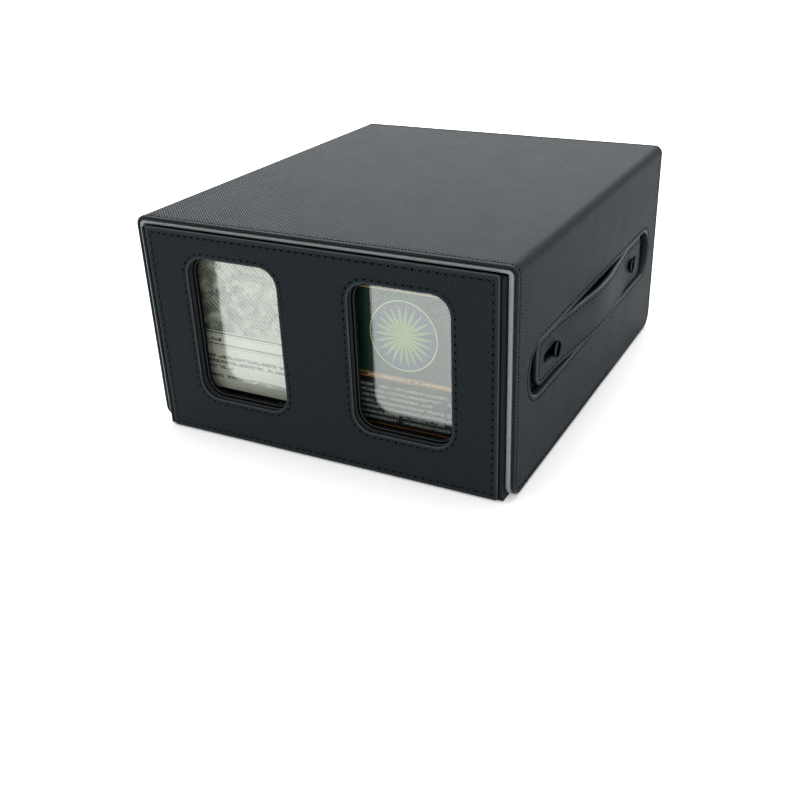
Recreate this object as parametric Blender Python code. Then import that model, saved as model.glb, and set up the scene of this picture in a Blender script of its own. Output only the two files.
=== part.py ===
"""Game card case: a rigid two-row card box with two framed display windows, under a soft
U-shaped cover of leather and felt with a strap handle in each side.

Metres, +Z up. The origin is at the centre of the underside, the windows face -Y.
"""

import math

import bmesh
import bpy
from mathutils import Matrix, Vector

# Cover: one leather and felt wrap of a left flap, a top and a right flap
cover_width = 0.189
cover_depth = 0.219
leather_thickness = 0.0016
lining_thickness = 0.0021
fold_radius = 0.0044
flap_ground_gap = 0.0008
flap_corner_radius = 0.008
flap_play = 0.0005
top_play = 0.0004

# Gap kept between pieces that touch
joint_gap = 0.0003

# Box: boards in a thin leather skin, with a thicker panel on its front and rear
box_stand_out = 0.0025
skin_thickness = 0.001
skin_setback = 0.0005
board_thickness = 0.0025
rim_thickness = 0.0008
underside_thickness = 0.0008
panel_thickness = 0.0015
panel_side_margin = 0.002
panel_ground_gap = 0.0004
panel_rise = 0.001
panel_corner_radius = 0.0015
compartment_lining = 0.0012

# Display windows in the front
window_width = 0.0484
window_height = 0.0706
window_corner_radius = 0.009
window_inward_shift = 0.0015
window_drop = 0.0123
board_window_relief = 0.0005
frame_lip = 0.0007
frame_lip_thickness = 0.0022
frame_rebate = 0.004
frame_depth = 0.0053
pane_thickness = 0.0008
pane_drop = 0.002
card_width = 0.063
card_height = 0.088
card_thickness = 0.0005
card_headroom = 0.0073
tray_back_thickness = 0.0015
tray_floor_thickness = 0.002
tray_side_thickness = 0.007

# Handle: a strap on each side, held by two studs that run in its slots
cutout_end_margin = 0.016
cutout_height = 0.0245
lining_cutout_margin = 0.0012
strap_end_gap = 0.0125
strap_width = 0.0226
strap_thickness = 0.0026
strap_below_middle = 0.0008
strap_end_radius = 0.006
strap_wall_gap = 0.0007
strap_middle_length = 0.017
strap_bulge = 0.0045
strap_hinge_setback = 0.0002
tab_root_length = 0.005
slot_width = 0.005
slot_inner_play = 0.0004
slot_travel = 0.011
stud_end_distance = 0.0207
stud_shank_radius = 0.002
stud_head_radius = 0.0038
stud_head_height = 0.002
stud_head_edge = 0.0012
stud_head_play = 0.0006
stud_hole_play = 0.0003
stud_cap_radius = 0.005
stud_cap_thickness = 0.001

# Magnets that hold the right flap shut
magnet_radius = 0.005
magnet_thickness = 0.0012
magnet_rise = 0.011
magnet_end_margin = 0.0245

# Overrun of a cutter past the piece that it cuts
cut_overrun = 0.004

# Segments of a quarter turn
corner_steps = 5
fold_steps = 4
round_steps = 8
turn_steps = 24

# Places that follow from the sizes
cover_thickness = leather_thickness + joint_gap + lining_thickness
box_width = cover_width - 2 * cover_thickness - 2 * flap_play
box_depth = cover_depth + 2 * box_stand_out
skin_inside = box_width / 2 - skin_thickness
board_outside = skin_inside - joint_gap
board_inside = board_outside - board_thickness
panel_back = box_depth / 2 - panel_thickness
board_end = panel_back - joint_gap
board_end_inside = board_end - board_thickness
floor_bottom = underside_thickness + joint_gap
floor_top = floor_bottom + board_thickness
wall_bottom = floor_top + joint_gap
pane_bottom = wall_bottom + tray_floor_thickness + joint_gap
wall_top = pane_bottom + card_height + card_headroom
box_top = wall_top + joint_gap + rim_thickness
case_height = box_top + top_play + cover_thickness
divider_face = board_thickness / 2
bay_inner = divider_face + joint_gap
bay_outer = board_inside - joint_gap
panel_bottom = panel_ground_gap
panel_top = box_top + panel_rise
window_centre_x = (bay_inner + bay_outer) / 2 - window_inward_shift
window_centre_z = panel_top - window_drop - window_height / 2
frame_front = -(board_end_inside - joint_gap)
frame_lip_back = frame_front + frame_lip_thickness
frame_back = frame_front + frame_depth
tray_front = frame_back + joint_gap
pane_back = tray_front + pane_thickness
card_front = pane_back + joint_gap
card_back = card_front + card_thickness
tray_recess = card_back + joint_gap
tray_back = tray_recess + tray_back_thickness
compartment_front = tray_back + joint_gap
strap_z = case_height / 2 - strap_below_middle
cutout_length = cover_depth - 2 * cutout_end_margin
strap_end = cutout_length / 2 - strap_end_gap
tab_inside = box_width / 2 + strap_wall_gap
tab_middle = tab_inside + strap_thickness / 2
tab_outside = tab_inside + strap_thickness
stud_y = strap_end - stud_end_distance
stud_head_base = tab_outside + stud_head_play
stud_cap_back = board_inside + stud_cap_thickness
stud_end = stud_cap_back + joint_gap
arm_hinge_y = strap_middle_length / 2
arm_hinge_x = tab_middle + strap_bulge
tab_hinge_y = stud_y - tab_root_length
arm_length = math.hypot(tab_hinge_y - arm_hinge_y, strap_bulge)
arm_rest_angle = math.asin(strap_bulge / arm_length)
magnet_y = cover_depth / 2 - magnet_end_margin
fold_centre_x = cover_width / 2 - fold_radius
fold_centre_z = case_height - fold_radius
lining_face = cover_width / 2 - leather_thickness - joint_gap

# Which way each end of the case lies along Y
ends = {"front": -1, "rear": 1}

# Planes in which flat outlines are drawn: the columns are the outline's own axes
facing_front = Matrix(((1, 0, 0), (0, 0, -1), (0, 1, 0))).to_4x4()
facing_side = Matrix(((0, 0, 1), (1, 0, 0), (0, 1, 0))).to_4x4()
facing_up = Matrix.Identity(4)

# Colour, roughness and metallic of each material
finishes = {
    "black leather": ((0.022, 0.026, 0.029), 0.62, 0.0),
    "grey felt": ((0.25, 0.30, 0.29), 0.95, 0.0),
    "grey board": ((0.20, 0.19, 0.18), 0.9, 0.0),
    "black plastic": ((0.012, 0.012, 0.013), 0.4, 0.0),
    "clear plastic": ((0.85, 0.88, 0.88), 0.06, 0.0),
    "printed card": ((0.60, 0.60, 0.54), 0.45, 0.0),
    "dark card": ((0.05, 0.17, 0.14), 0.45, 0.0),
    "dark metal": ((0.10, 0.10, 0.10), 0.3, 1.0),
    "magnet metal": ((0.45, 0.45, 0.46), 0.35, 1.0),
}


def clear_scene():
    for item in list(bpy.data.objects):
        bpy.data.objects.remove(item, do_unlink=True)


def new_collection(name):
    collection = bpy.data.collections.new(name)
    bpy.context.scene.collection.children.link(collection)
    return collection


def own_material(name, finish):
    colour, roughness, metallic = finishes[finish]
    material = bpy.data.materials.new(name)
    material.use_nodes = True
    shader = material.node_tree.nodes["Principled BSDF"]
    shader.inputs["Base Color"].default_value = (*colour, 1.0)
    shader.inputs["Roughness"].default_value = roughness
    shader.inputs["Metallic"].default_value = metallic
    material.diffuse_color = (*colour, 1.0)
    return material


def centred(name, mesh):
    """An object whose origin is at the middle of its mesh."""
    points = [vert.co for vert in mesh.vertices]
    low = Vector([min(point[axis] for point in points) for axis in range(3)])
    high = Vector([max(point[axis] for point in points) for axis in range(3)])
    middle = (low + high) / 2
    mesh.transform(Matrix.Translation(-middle))
    item = bpy.data.objects.new(name, mesh)
    item.location = middle
    return item


def finished(item, finish):
    """Puts a piece in the case's collection with a material of its own."""
    item.data.name = item.name
    item.data.materials.clear()
    item.data.materials.append(own_material(item.name, finish))
    case.objects.link(item)
    return item


def carried(item, carrier):
    """Parents an item to what carries it and leaves it where it lies."""
    item.parent = carrier
    rest = Matrix.LocRotScale(carrier.location, carrier.rotation_euler, None)
    item.matrix_parent_inverse = rest.inverted()


def piece(name, mesh, finish, hinge=None):
    """A piece that is drawn where it lies, carried by a hinge or by the box."""
    item = finished(centred(name, mesh), finish)
    if hinge:
        carried(item, hinge)
    return item


def hinge_axis(name, x, z):
    """An empty on a fold's axis, which runs along Y."""
    axis = bpy.data.objects.new(name, None)
    axis.location = (x, 0, z)
    case.objects.link(axis)
    return axis


def cutter(name, mesh, origin_kept=False):
    item = bpy.data.objects.new(name, mesh) if origin_kept else centred(name, mesh)
    item.hide_render = True
    item.display_type = "WIRE"
    cutters.objects.link(item)
    return item


def cut(item, tool, operation="DIFFERENCE"):
    step = item.modifiers.new(tool.name, "BOOLEAN")
    step.operation = operation
    step.solver = "EXACT"
    step.object = tool


def box_mesh(low, high):
    """A block between two corners."""
    low, high = Vector(low), Vector(high)
    shape = bmesh.new()
    bmesh.ops.create_cube(shape, size=1)
    size = Matrix.Diagonal(high - low).to_4x4()
    bmesh.ops.transform(shape, matrix=Matrix.Translation((low + high) / 2) @ size, verts=shape.verts)
    mesh = bpy.data.meshes.new("block")
    shape.to_mesh(mesh)
    shape.free()
    return mesh


def disc_mesh(radius, x_low, x_high, centre_y, centre_z):
    """A disc or pin whose axis runs along X."""
    shape = bmesh.new()
    bmesh.ops.create_cone(
        shape, cap_ends=True, segments=turn_steps, radius1=radius, radius2=radius, depth=x_high - x_low
    )
    place = Matrix.Translation(((x_low + x_high) / 2, centre_y, centre_z))
    bmesh.ops.transform(shape, matrix=place @ Matrix.Rotation(math.pi / 2, 4, "Y"), verts=shape.verts)
    mesh = bpy.data.meshes.new("disc")
    shape.to_mesh(mesh)
    shape.free()
    return mesh


def joined_mesh(meshes):
    """One mesh of several separate solids."""
    shape = bmesh.new()
    for mesh in meshes:
        shape.from_mesh(mesh)
    joined = bpy.data.meshes.new("group")
    shape.to_mesh(joined)
    shape.free()
    return joined


def mirrored_mesh(mesh):
    """The same shape on the other side of the plane between left and right."""
    shape = bmesh.new()
    shape.from_mesh(mesh)
    bmesh.ops.scale(shape, vec=(-1, 1, 1), verts=shape.verts)
    bmesh.ops.reverse_faces(shape, faces=shape.faces)
    mirrored = bpy.data.meshes.new(mesh.name)
    shape.to_mesh(mirrored)
    shape.free()
    return mirrored


def arc(centre, radius, start, end, steps):
    """Points on an arc, angles in degrees."""
    points = []
    for step in range(steps + 1):
        angle = math.radians(start + (end - start) * step / steps)
        points.append((centre[0] + radius * math.cos(angle), centre[1] + radius * math.sin(angle)))
    return points


def rounded_outline(centre, width, height, lower_radius, upper_radius, steps=corner_steps):
    """A rectangle with round corners, anticlockwise from its lower right."""
    left, right = centre[0] - width / 2, centre[0] + width / 2
    bottom, top = centre[1] - height / 2, centre[1] + height / 2
    corners = (
        (right - lower_radius, bottom + lower_radius, lower_radius, 270),
        (right - upper_radius, top - upper_radius, upper_radius, 0),
        (left + upper_radius, top - upper_radius, upper_radius, 90),
        (left + lower_radius, bottom + lower_radius, lower_radius, 180),
    )
    points = []
    for x, y, radius, start in corners:
        if radius > 0:
            points += arc((x, y), radius, start, start + 90, steps)
        else:
            points.append((x, y))
    return points


def stadium(centre, length, height, steps=round_steps):
    return rounded_outline(centre, length, height, height / 2, height / 2, steps)


def sheet_mesh(outlines, low, high, plane):
    """A flat sheet of an outline and its holes, between two levels along the plane's normal."""
    curve = bpy.data.curves.new("outline", "CURVE")
    curve.dimensions = "2D"
    curve.fill_mode = "BOTH"
    curve.extrude = (high - low) / 2
    for outline in outlines:
        spline = curve.splines.new("POLY")
        spline.points.add(len(outline) - 1)
        for point, (x, y) in zip(spline.points, outline):
            point.co = (x, y, 0, 1)
        spline.use_cyclic_u = True
    guide = bpy.data.objects.new("outline", curve)
    cutters.objects.link(guide)
    graph = bpy.context.evaluated_depsgraph_get()
    mesh = bpy.data.meshes.new_from_object(guide.evaluated_get(graph))
    bpy.data.objects.remove(guide, do_unlink=True)
    shape = bmesh.new()
    shape.from_mesh(mesh)
    bmesh.ops.remove_doubles(shape, verts=shape.verts, dist=joint_gap / 100)
    bmesh.ops.dissolve_degenerate(shape, edges=shape.edges, dist=joint_gap / 100)
    lift = Matrix.Translation((0, 0, (low + high) / 2))
    bmesh.ops.transform(shape, matrix=plane @ lift, verts=shape.verts)
    bmesh.ops.recalc_face_normals(shape, faces=shape.faces)
    shape.to_mesh(mesh)
    shape.free()
    return mesh


def side_mesh(mesh, side):
    return mesh if side == "right" else mirrored_mesh(mesh)


def make_boards():
    """The box's floor, four walls and the divider between its two rows."""
    floor = box_mesh((-board_outside, -board_end, floor_bottom), (board_outside, board_end, floor_top))
    piece("floor_board", floor, "grey board")
    front = sheet_mesh(
        [
            rounded_outline(
                (0, (wall_bottom + wall_top) / 2), 2 * board_outside, wall_top - wall_bottom, 0, 0
            ),
            *window_outlines(board_window_relief),
        ],
        board_end_inside,
        board_end,
        facing_front,
    )
    piece("front_board", front, "grey board")
    rear = box_mesh((-board_outside, board_end_inside, wall_bottom), (board_outside, board_end, wall_top))
    piece("rear_board", rear, "grey board")
    wall_end = board_end_inside - joint_gap
    for side in ("left", "right"):
        wall = box_mesh((board_inside, -wall_end, wall_bottom), (board_outside, wall_end, wall_top))
        board = piece(f"{side}_board", side_mesh(wall, side), "grey board")
        cut(board, stud_bores[side])
        cut(board, cap_bores[side])
        if side == "right":
            cut(board, board_magnet_pockets)
    divider = box_mesh((-divider_face, -wall_end, wall_bottom), (divider_face, wall_end, wall_top))
    piece("centre_divider", divider, "grey board")


def make_skins():
    """Leather on the outside of the box: underside, sides, rear, front and turned over its rim."""
    underside = box_mesh((-box_width / 2, -board_end, 0), (box_width / 2, board_end, underside_thickness))
    piece("underside_skin", underside, "black leather")
    skin_end = box_depth / 2 - skin_setback
    for side in ("left", "right"):
        skin = box_mesh((skin_inside, -skin_end, floor_bottom), (box_width / 2, skin_end, box_top))
        item = piece(f"{side}_side_skin", side_mesh(skin, side), "black leather")
        cut(item, stud_bores[side])
    panel_width = box_width - 2 * panel_side_margin
    panel_outline = rounded_outline(
        (0, (panel_bottom + panel_top) / 2),
        panel_width,
        panel_top - panel_bottom,
        panel_corner_radius,
        panel_corner_radius,
    )
    fascia = sheet_mesh([panel_outline, *window_outlines(0)], panel_back, box_depth / 2, facing_front)
    piece("front_fascia", fascia, "black leather")
    rear = sheet_mesh([panel_outline], -box_depth / 2, -panel_back, facing_front)
    piece("rear_panel", rear, "black leather")
    bay_width = board_inside - divider_face
    bay_middle = (board_inside + divider_face) / 2
    rim = sheet_mesh(
        [
            rounded_outline((0, 0), 2 * board_outside, 2 * board_end, 0, 0),
            rounded_outline((bay_middle, 0), bay_width, 2 * board_end_inside, 0, 0),
            rounded_outline((-bay_middle, 0), bay_width, 2 * board_end_inside, 0, 0),
        ],
        box_top - rim_thickness,
        box_top,
        facing_up,
    )
    piece("rim_binding", rim, "black leather")


def make_compartments():
    """A felt tub for each of the two card rows, open at the top."""
    end = board_end_inside - joint_gap
    for side in ("left", "right"):
        outer = box_mesh((bay_inner, compartment_front, wall_bottom), (bay_outer, end, wall_top))
        inner = box_mesh(
            (
                bay_inner + compartment_lining,
                compartment_front + compartment_lining,
                wall_bottom + compartment_lining,
            ),
            (bay_outer - compartment_lining, end - compartment_lining, wall_top + cut_overrun),
        )
        tub = piece(f"{side}_compartment_lining", side_mesh(outer, side), "grey felt")
        cut(tub, cutter(f"{side} compartment space", side_mesh(inner, side)))


def window_outlines(relief):
    """Both windows' outlines, each grown by the relief."""
    outlines = []
    for sign in (-1, 1):
        outlines.append(
            rounded_outline(
                (sign * window_centre_x, window_centre_z),
                window_width + 2 * relief,
                window_height + 2 * relief,
                window_corner_radius + relief,
                window_corner_radius + relief,
            )
        )
    return outlines


def make_display_pockets():
    """Behind each window: a lipped frame, a clear pane, a card and the tray that holds both."""
    frame_outline = rounded_outline(
        ((bay_inner + bay_outer) / 2, (wall_bottom + wall_top) / 2),
        bay_outer - bay_inner,
        wall_top - wall_bottom,
        0,
        0,
    )
    opening = window_outlines(-frame_lip)[1]
    rebate_outline = window_outlines(frame_rebate)[1]
    centre = (bay_inner + bay_outer) / 2
    pane_half = (bay_outer - bay_inner) / 2 - tray_side_thickness
    pane_top = wall_top - pane_drop
    card_half = card_width / 2
    card_top = pane_bottom + card_height
    for side, card_finish in (("left", "printed card"), ("right", "dark card")):
        block = sheet_mesh([frame_outline, opening], -frame_back, -frame_front, facing_front)
        frame = piece(f"{side}_pocket_frame", side_mesh(block, side), "black plastic")
        rebate = sheet_mesh([rebate_outline], -frame_back - cut_overrun, -frame_lip_back, facing_front)
        cut(frame, cutter(f"{side} frame rebate", side_mesh(rebate, side)))

        pane_low = (centre - pane_half, tray_front, pane_bottom)
        pane = box_mesh(pane_low, (centre + pane_half, pane_back, pane_top))
        piece(f"{side}_window_pane", side_mesh(pane, side), "clear plastic")

        card_low = (centre - card_half, card_front, pane_bottom)
        card = box_mesh(card_low, (centre + card_half, card_back, card_top))
        piece(f"{side}_display_card", side_mesh(card, side), card_finish)

        block = box_mesh((bay_inner, tray_front, wall_bottom), (bay_outer, tray_back, wall_top))
        tray = piece(f"{side}_card_tray", side_mesh(block, side), "black plastic")
        pane_space = box_mesh(
            (centre - pane_half - joint_gap, tray_front - cut_overrun, pane_bottom - joint_gap),
            (centre + pane_half + joint_gap, card_front, wall_top + cut_overrun),
        )
        cut(tray, cutter(f"{side} pane space", side_mesh(pane_space, side)))
        card_space = box_mesh(
            (centre - card_half - joint_gap, tray_front - cut_overrun, pane_bottom - joint_gap),
            (centre + card_half + joint_gap, tray_recess, wall_top + cut_overrun),
        )
        cut(tray, cutter(f"{side} card space", side_mesh(card_space, side)))


def fold_end(depth, turned):
    """Angle at which a layer at this depth stops, half a gap short of the mitre."""
    radius = fold_radius - depth
    short = math.degrees(math.asin(joint_gap / 2 / radius))
    return 45 - short if turned else 45 + short


def top_mesh(outer, inner):
    """A layer of the top between two depths, with half of each fold at its sides."""
    outline = []
    left, right = (-fold_centre_x, fold_centre_z), (fold_centre_x, fold_centre_z)
    outer_end, inner_end = fold_end(outer, False), fold_end(inner, False)
    outline += arc(right, fold_radius - outer, outer_end, 90, fold_steps)
    outline += arc(left, fold_radius - outer, 90, 180 - outer_end, fold_steps)
    outline += arc(left, fold_radius - inner, 180 - inner_end, 90, fold_steps)
    outline += arc(right, fold_radius - inner, 90, inner_end, fold_steps)
    return sheet_mesh([outline], -cover_depth / 2, cover_depth / 2, facing_front)


def flap_mesh(outer, inner):
    """A layer of the right flap between two depths, with half of the fold at its top."""
    centre = (fold_centre_x, fold_centre_z)
    outline = [(cover_width / 2 - inner, flap_ground_gap), (cover_width / 2 - outer, flap_ground_gap)]
    outline += arc(centre, fold_radius - outer, 0, fold_end(outer, True), fold_steps)
    outline += arc(centre, fold_radius - inner, fold_end(inner, True), 0, fold_steps)
    return sheet_mesh([outline], -cover_depth / 2, cover_depth / 2, facing_front)


def flap_silhouette(side, layer, cutout_margin):
    """The flap seen from the side, with its round lower corners and its handle cut-out."""
    top = case_height + cut_overrun
    outlines = [
        rounded_outline(
            (0, (flap_ground_gap + top) / 2),
            cover_depth,
            top - flap_ground_gap,
            flap_corner_radius,
            0,
        ),
        stadium((0, strap_z), cutout_length + 2 * cutout_margin, cutout_height + 2 * cutout_margin),
    ]
    low = cover_width / 2 - cover_thickness - fold_radius - cut_overrun
    mesh = sheet_mesh(outlines, low, cover_width / 2 + cut_overrun, facing_side)
    return cutter(f"{side} flap {layer} silhouette", side_mesh(mesh, side))


def make_cover():
    """Leather outside and felt inside: a fixed left flap, the top and the free right flap."""
    lining_depth = leather_thickness + joint_gap
    layers = (
        ("leather", "black leather", 0, leather_thickness, 0),
        ("lining", "grey felt", lining_depth, cover_thickness, lining_cutout_margin),
    )
    for layer, finish, outer, inner, margin in layers:
        piece(f"top_{layer}", top_mesh(outer, inner), finish, lid_hinge)
        for side in ("left", "right"):
            hinge = flap_hinge if side == "right" else None
            flap = piece(f"{side}_flap_{layer}", side_mesh(flap_mesh(outer, inner), side), finish, hinge)
            cut(flap, flap_silhouette(side, layer, margin), "INTERSECT")
            if side == "right" and layer == "lining":
                cut(flap, flap_magnet_pockets)


def magnet_pocket_cutter(name, face):
    """Room for the two magnets, sunk from the face that they lie flush with."""
    radius = magnet_radius + joint_gap
    low = face - magnet_thickness - joint_gap
    discs = []
    for along in ends.values():
        discs.append(disc_mesh(radius, low, face + cut_overrun, along * magnet_y, magnet_rise))
    return cutter(name, joined_mesh(discs))


def make_magnets():
    """Two discs in the right flap's felt and two facing them in the box's right wall."""
    for end, along in ends.items():
        for place, face, hinge in (("flap", lining_face, flap_hinge), ("wall", board_outside, None)):
            disc = disc_mesh(
                magnet_radius, face - magnet_thickness, face, along * magnet_y, magnet_rise
            )
            piece(f"{place}_{end}_magnet", disc, "magnet metal", hinge)


def stud_mesh(centre_y):
    """A domed head on a shank, turned about X."""
    profile = [
        (stud_end, 0),
        (stud_end, stud_shank_radius),
        (stud_head_base, stud_shank_radius),
        (stud_head_base, stud_head_radius),
        (stud_head_base + stud_head_edge, stud_head_radius),
    ]
    dome = stud_head_height - stud_head_edge
    for step in range(1, corner_steps):
        angle = math.pi / 2 * step / corner_steps
        rise = stud_head_base + stud_head_edge + dome * math.sin(angle)
        profile.append((rise, stud_head_radius * math.cos(angle)))
    profile.append((stud_head_base + stud_head_height, 0))
    shape = bmesh.new()
    verts = [shape.verts.new((x, centre_y + radius, strap_z)) for x, radius in profile]
    edges = [shape.edges.new(pair) for pair in zip(verts, verts[1:])]
    bmesh.ops.spin(
        shape,
        geom=verts + edges,
        cent=(0, centre_y, strap_z),
        axis=(1, 0, 0),
        angle=2 * math.pi,
        steps=turn_steps,
        use_merge=True,
    )
    bmesh.ops.remove_doubles(shape, verts=shape.verts, dist=joint_gap / 100)
    bmesh.ops.recalc_face_normals(shape, faces=shape.faces)
    mesh = bpy.data.meshes.new("stud")
    shape.to_mesh(mesh)
    shape.free()
    mesh.shade_smooth()
    mesh.set_sharp_from_angle(angle=math.radians(40))
    return mesh


def make_studs():
    """Two handle studs a side and the flat caps that close them inside the wall."""
    for side in ("left", "right"):
        for end, along in ends.items():
            stud = stud_mesh(along * stud_y)
            piece(f"{side}_{end}_handle_stud", side_mesh(stud, side), "dark metal")
            cap = disc_mesh(stud_cap_radius, board_inside, stud_cap_back, along * stud_y, strap_z)
            piece(f"{side}_{end}_stud_cap", side_mesh(cap, side), "dark metal")


def stud_bore_cutter(side, radius, x_low, x_high, name):
    discs = [disc_mesh(radius, x_low, x_high, along * stud_y, strap_z) for along in ends.values()]
    return cutter(f"{side} {name}", side_mesh(joined_mesh(discs), side))


def strap_bar(start, end, round_end):
    """A straight run of strap along Y about its own mid line, with a half round at each hinge."""
    half = strap_thickness / 2
    outline = arc((0, start + half), half, 180, 360, fold_steps)
    if round_end:
        outline += arc((0, end - half), half, 0, 180, fold_steps)
    else:
        outline += [(half, end), (-half, end)]
    return sheet_mesh([outline], -strap_width / 2, strap_width / 2, facing_up)


def strap_piece(name, mesh):
    """A strap piece keeps its origin on the hinge that it turns about."""
    return finished(bpy.data.objects.new(name, mesh), "black leather")


def tab_silhouette(name):
    """The strap's end seen from the side: a round end and the slot for the stud."""
    far = strap_end - tab_hinge_y
    slot_start = stud_y - tab_hinge_y - slot_inner_play - slot_width / 2
    slot_end = stud_y - tab_hinge_y + slot_travel + slot_width / 2
    outer = rounded_outline((0, 0), 2 * far, strap_width, strap_end_radius, strap_end_radius)
    slot = stadium(((slot_start + slot_end) / 2, 0), slot_end - slot_start, slot_width)
    mesh = sheet_mesh([outer, slot], -strap_thickness, strap_thickness, facing_side)
    return cutter(name, mesh, origin_kept=True)


def placed(item, side, end, x, y, angle):
    """Puts a strap piece that is drawn along +Y at its hinge, on its side and end of the case."""
    across = 1 if side == "right" else -1
    along = ends[end]
    turn = angle * across * along
    if end == "front":
        turn += math.pi
    item.location = (across * x, along * y, strap_z)
    item.rotation_euler = (0, 0, turn)


def make_strap(side):
    """A handle strap: its middle, and an arm and a slotted tab toward each end."""
    half_middle = strap_middle_length / 2 - strap_hinge_setback
    middle = strap_piece(f"{side}_strap_middle", strap_bar(-half_middle, half_middle, True))
    placed(middle, side, "rear", arm_hinge_x, 0, 0)
    for end in ends:
        reach = arm_length - strap_hinge_setback
        arm = strap_piece(f"{side}_{end}_strap_arm", strap_bar(strap_hinge_setback, reach, True))
        placed(arm, side, end, arm_hinge_x, arm_hinge_y, arm_rest_angle)
        carried(arm, middle)
        far = strap_end - tab_hinge_y
        tab = strap_piece(f"{side}_{end}_strap_tab", strap_bar(strap_hinge_setback, far, False))
        placed(tab, side, end, tab_middle, tab_hinge_y, 0)
        carried(tab, arm)
        shape = tab_silhouette(f"{side} {end} tab silhouette")
        placed(shape, side, end, tab_middle, tab_hinge_y, 0)
        cut(tab, shape, "INTERSECT")


clear_scene()
case = new_collection("game_card_case")
cutters = new_collection("cutters")

stud_bores = {}
cap_bores = {}
for side_name in ("left", "right"):
    stud_bores[side_name] = stud_bore_cutter(
        side_name,
        stud_shank_radius + stud_hole_play,
        stud_end - joint_gap,
        box_width / 2 + cut_overrun,
        "stud bores",
    )
    cap_bores[side_name] = stud_bore_cutter(
        side_name, stud_cap_radius + stud_hole_play, board_inside - cut_overrun, stud_end, "cap bores"
    )
board_magnet_pockets = magnet_pocket_cutter("board magnet pockets", board_outside)
flap_magnet_pockets = magnet_pocket_cutter("flap magnet pockets", lining_face)

fold_axis_x = fold_centre_x + fold_radius * math.cos(math.radians(45))
fold_axis_z = fold_centre_z + fold_radius * math.sin(math.radians(45))
lid_hinge = hinge_axis("lid_hinge", -fold_axis_x, fold_axis_z)
flap_hinge = hinge_axis("flap_hinge", fold_axis_x, fold_axis_z)
carried(flap_hinge, lid_hinge)

make_boards()
make_skins()
make_compartments()
make_display_pockets()
make_cover()
make_magnets()
make_studs()
make_strap("left")
make_strap("right")
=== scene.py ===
import math

import bmesh
import bpy
from mathutils import Matrix, Vector, noise


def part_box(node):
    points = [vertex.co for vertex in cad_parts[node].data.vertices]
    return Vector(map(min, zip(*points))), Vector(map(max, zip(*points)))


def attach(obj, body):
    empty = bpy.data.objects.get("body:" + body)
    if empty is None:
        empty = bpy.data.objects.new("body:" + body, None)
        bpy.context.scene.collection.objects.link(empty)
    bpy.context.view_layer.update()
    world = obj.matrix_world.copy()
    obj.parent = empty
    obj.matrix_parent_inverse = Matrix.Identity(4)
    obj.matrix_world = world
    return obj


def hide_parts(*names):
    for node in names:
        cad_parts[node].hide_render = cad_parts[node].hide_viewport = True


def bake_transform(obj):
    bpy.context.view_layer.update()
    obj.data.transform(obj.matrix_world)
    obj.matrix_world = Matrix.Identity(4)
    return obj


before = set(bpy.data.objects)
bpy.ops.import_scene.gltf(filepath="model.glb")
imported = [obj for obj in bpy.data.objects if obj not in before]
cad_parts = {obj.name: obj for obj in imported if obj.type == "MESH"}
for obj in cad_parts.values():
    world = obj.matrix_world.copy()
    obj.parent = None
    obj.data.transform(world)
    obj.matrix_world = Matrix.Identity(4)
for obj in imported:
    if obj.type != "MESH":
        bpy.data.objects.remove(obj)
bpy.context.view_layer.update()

# Sizes in the dictionaries are in millimetres, and meshes and patterns are made in metres
mm = 0.001
sides, ends = ("left", "right"), ("front", "rear")
outwardOf = {"left": -1, "right": 1}


def nodeBox(node):
    low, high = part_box(node)
    return low / mm, high / mm


# Materials

# sRGB hex to the linear colour that a shader takes
def linear(hexCode):
    parts = [int(hexCode[start:start + 2], 16) / 255 for start in (1, 3, 5)]
    return [part / 12.92 if part <= 0.04045 else ((part + 0.055) / 1.055) ** 2.4 for part in parts] + [1.0]


# One node with its settings, and its inputs set to a value or linked from a socket
def addNode(tree, kind, inputs=None, **settings):
    node = tree.nodes.new(kind)
    for name, value in settings.items():
        setattr(node, name, value)
    for key, value in (inputs or {}).items():
        if isinstance(value, bpy.types.NodeSocket):
            tree.links.new(value, node.inputs[key])
        else:
            node.inputs[key].default_value = value
    return node


def newMaterial(name):
    material = bpy.data.materials.new(name)
    material.use_nodes = True
    material.node_tree.nodes.clear()
    return material, material.node_tree


# Where a pattern lies: on a new piece's own unrolled surface, or in one plane of a CAD node
def patternPlace(tree, plane):
    coordinates = addNode(tree, "ShaderNodeTexCoord")
    if plane == "unrolled":
        return coordinates.outputs["UV"]
    parts = addNode(tree, "ShaderNodeSeparateXYZ", {0: coordinates.outputs["Object"]})
    joined = addNode(tree, "ShaderNodeCombineXYZ", {
        0: parts.outputs[plane[0]],
        1: parts.outputs[plane[1]],
        2: parts.outputs[({"X", "Y", "Z"} - set(plane)).pop()],
    })
    return joined.outputs[0]


# A noise, and the colour that it gives between two tints
def mottled(tree, darker, paler, grain):
    specks = addNode(tree, "ShaderNodeTexNoise", grain).outputs["Fac"]
    colour = addNode(tree, "ShaderNodeMix", {
        0: specks, 6: linear(darker), 7: linear(paler),
    }, data_type="RGBA").outputs[2]
    return specks, colour


# A material with one noise for its colour and its relief
def mottledMaterial(name, look):
    material, tree = newMaterial(name)
    coordinates = addNode(tree, "ShaderNodeTexCoord")
    specks, colour = mottled(tree, *look["tints"], {
        "Vector": coordinates.outputs[look.get("lies", "Object")], "Scale": 1 / (look["size"] * mm),
        **look.get("noise", {}),
    })
    surface = {"Base Color": colour, **look["surface"]}
    if "depth" in look:
        surface["Normal"] = addNode(tree, "ShaderNodeBump", {
            "Height": specks, "Strength": 1.0, "Distance": look["depth"] * mm,
        }).outputs[0]
    shader = addNode(tree, "ShaderNodeBsdfPrincipled", surface)
    addNode(tree, "ShaderNodeOutputMaterial", {0: shader.outputs[0]})
    return material


# Most of a noise's values lie between these two
noiseLow, noiseHigh = 0.3, 0.7
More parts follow.
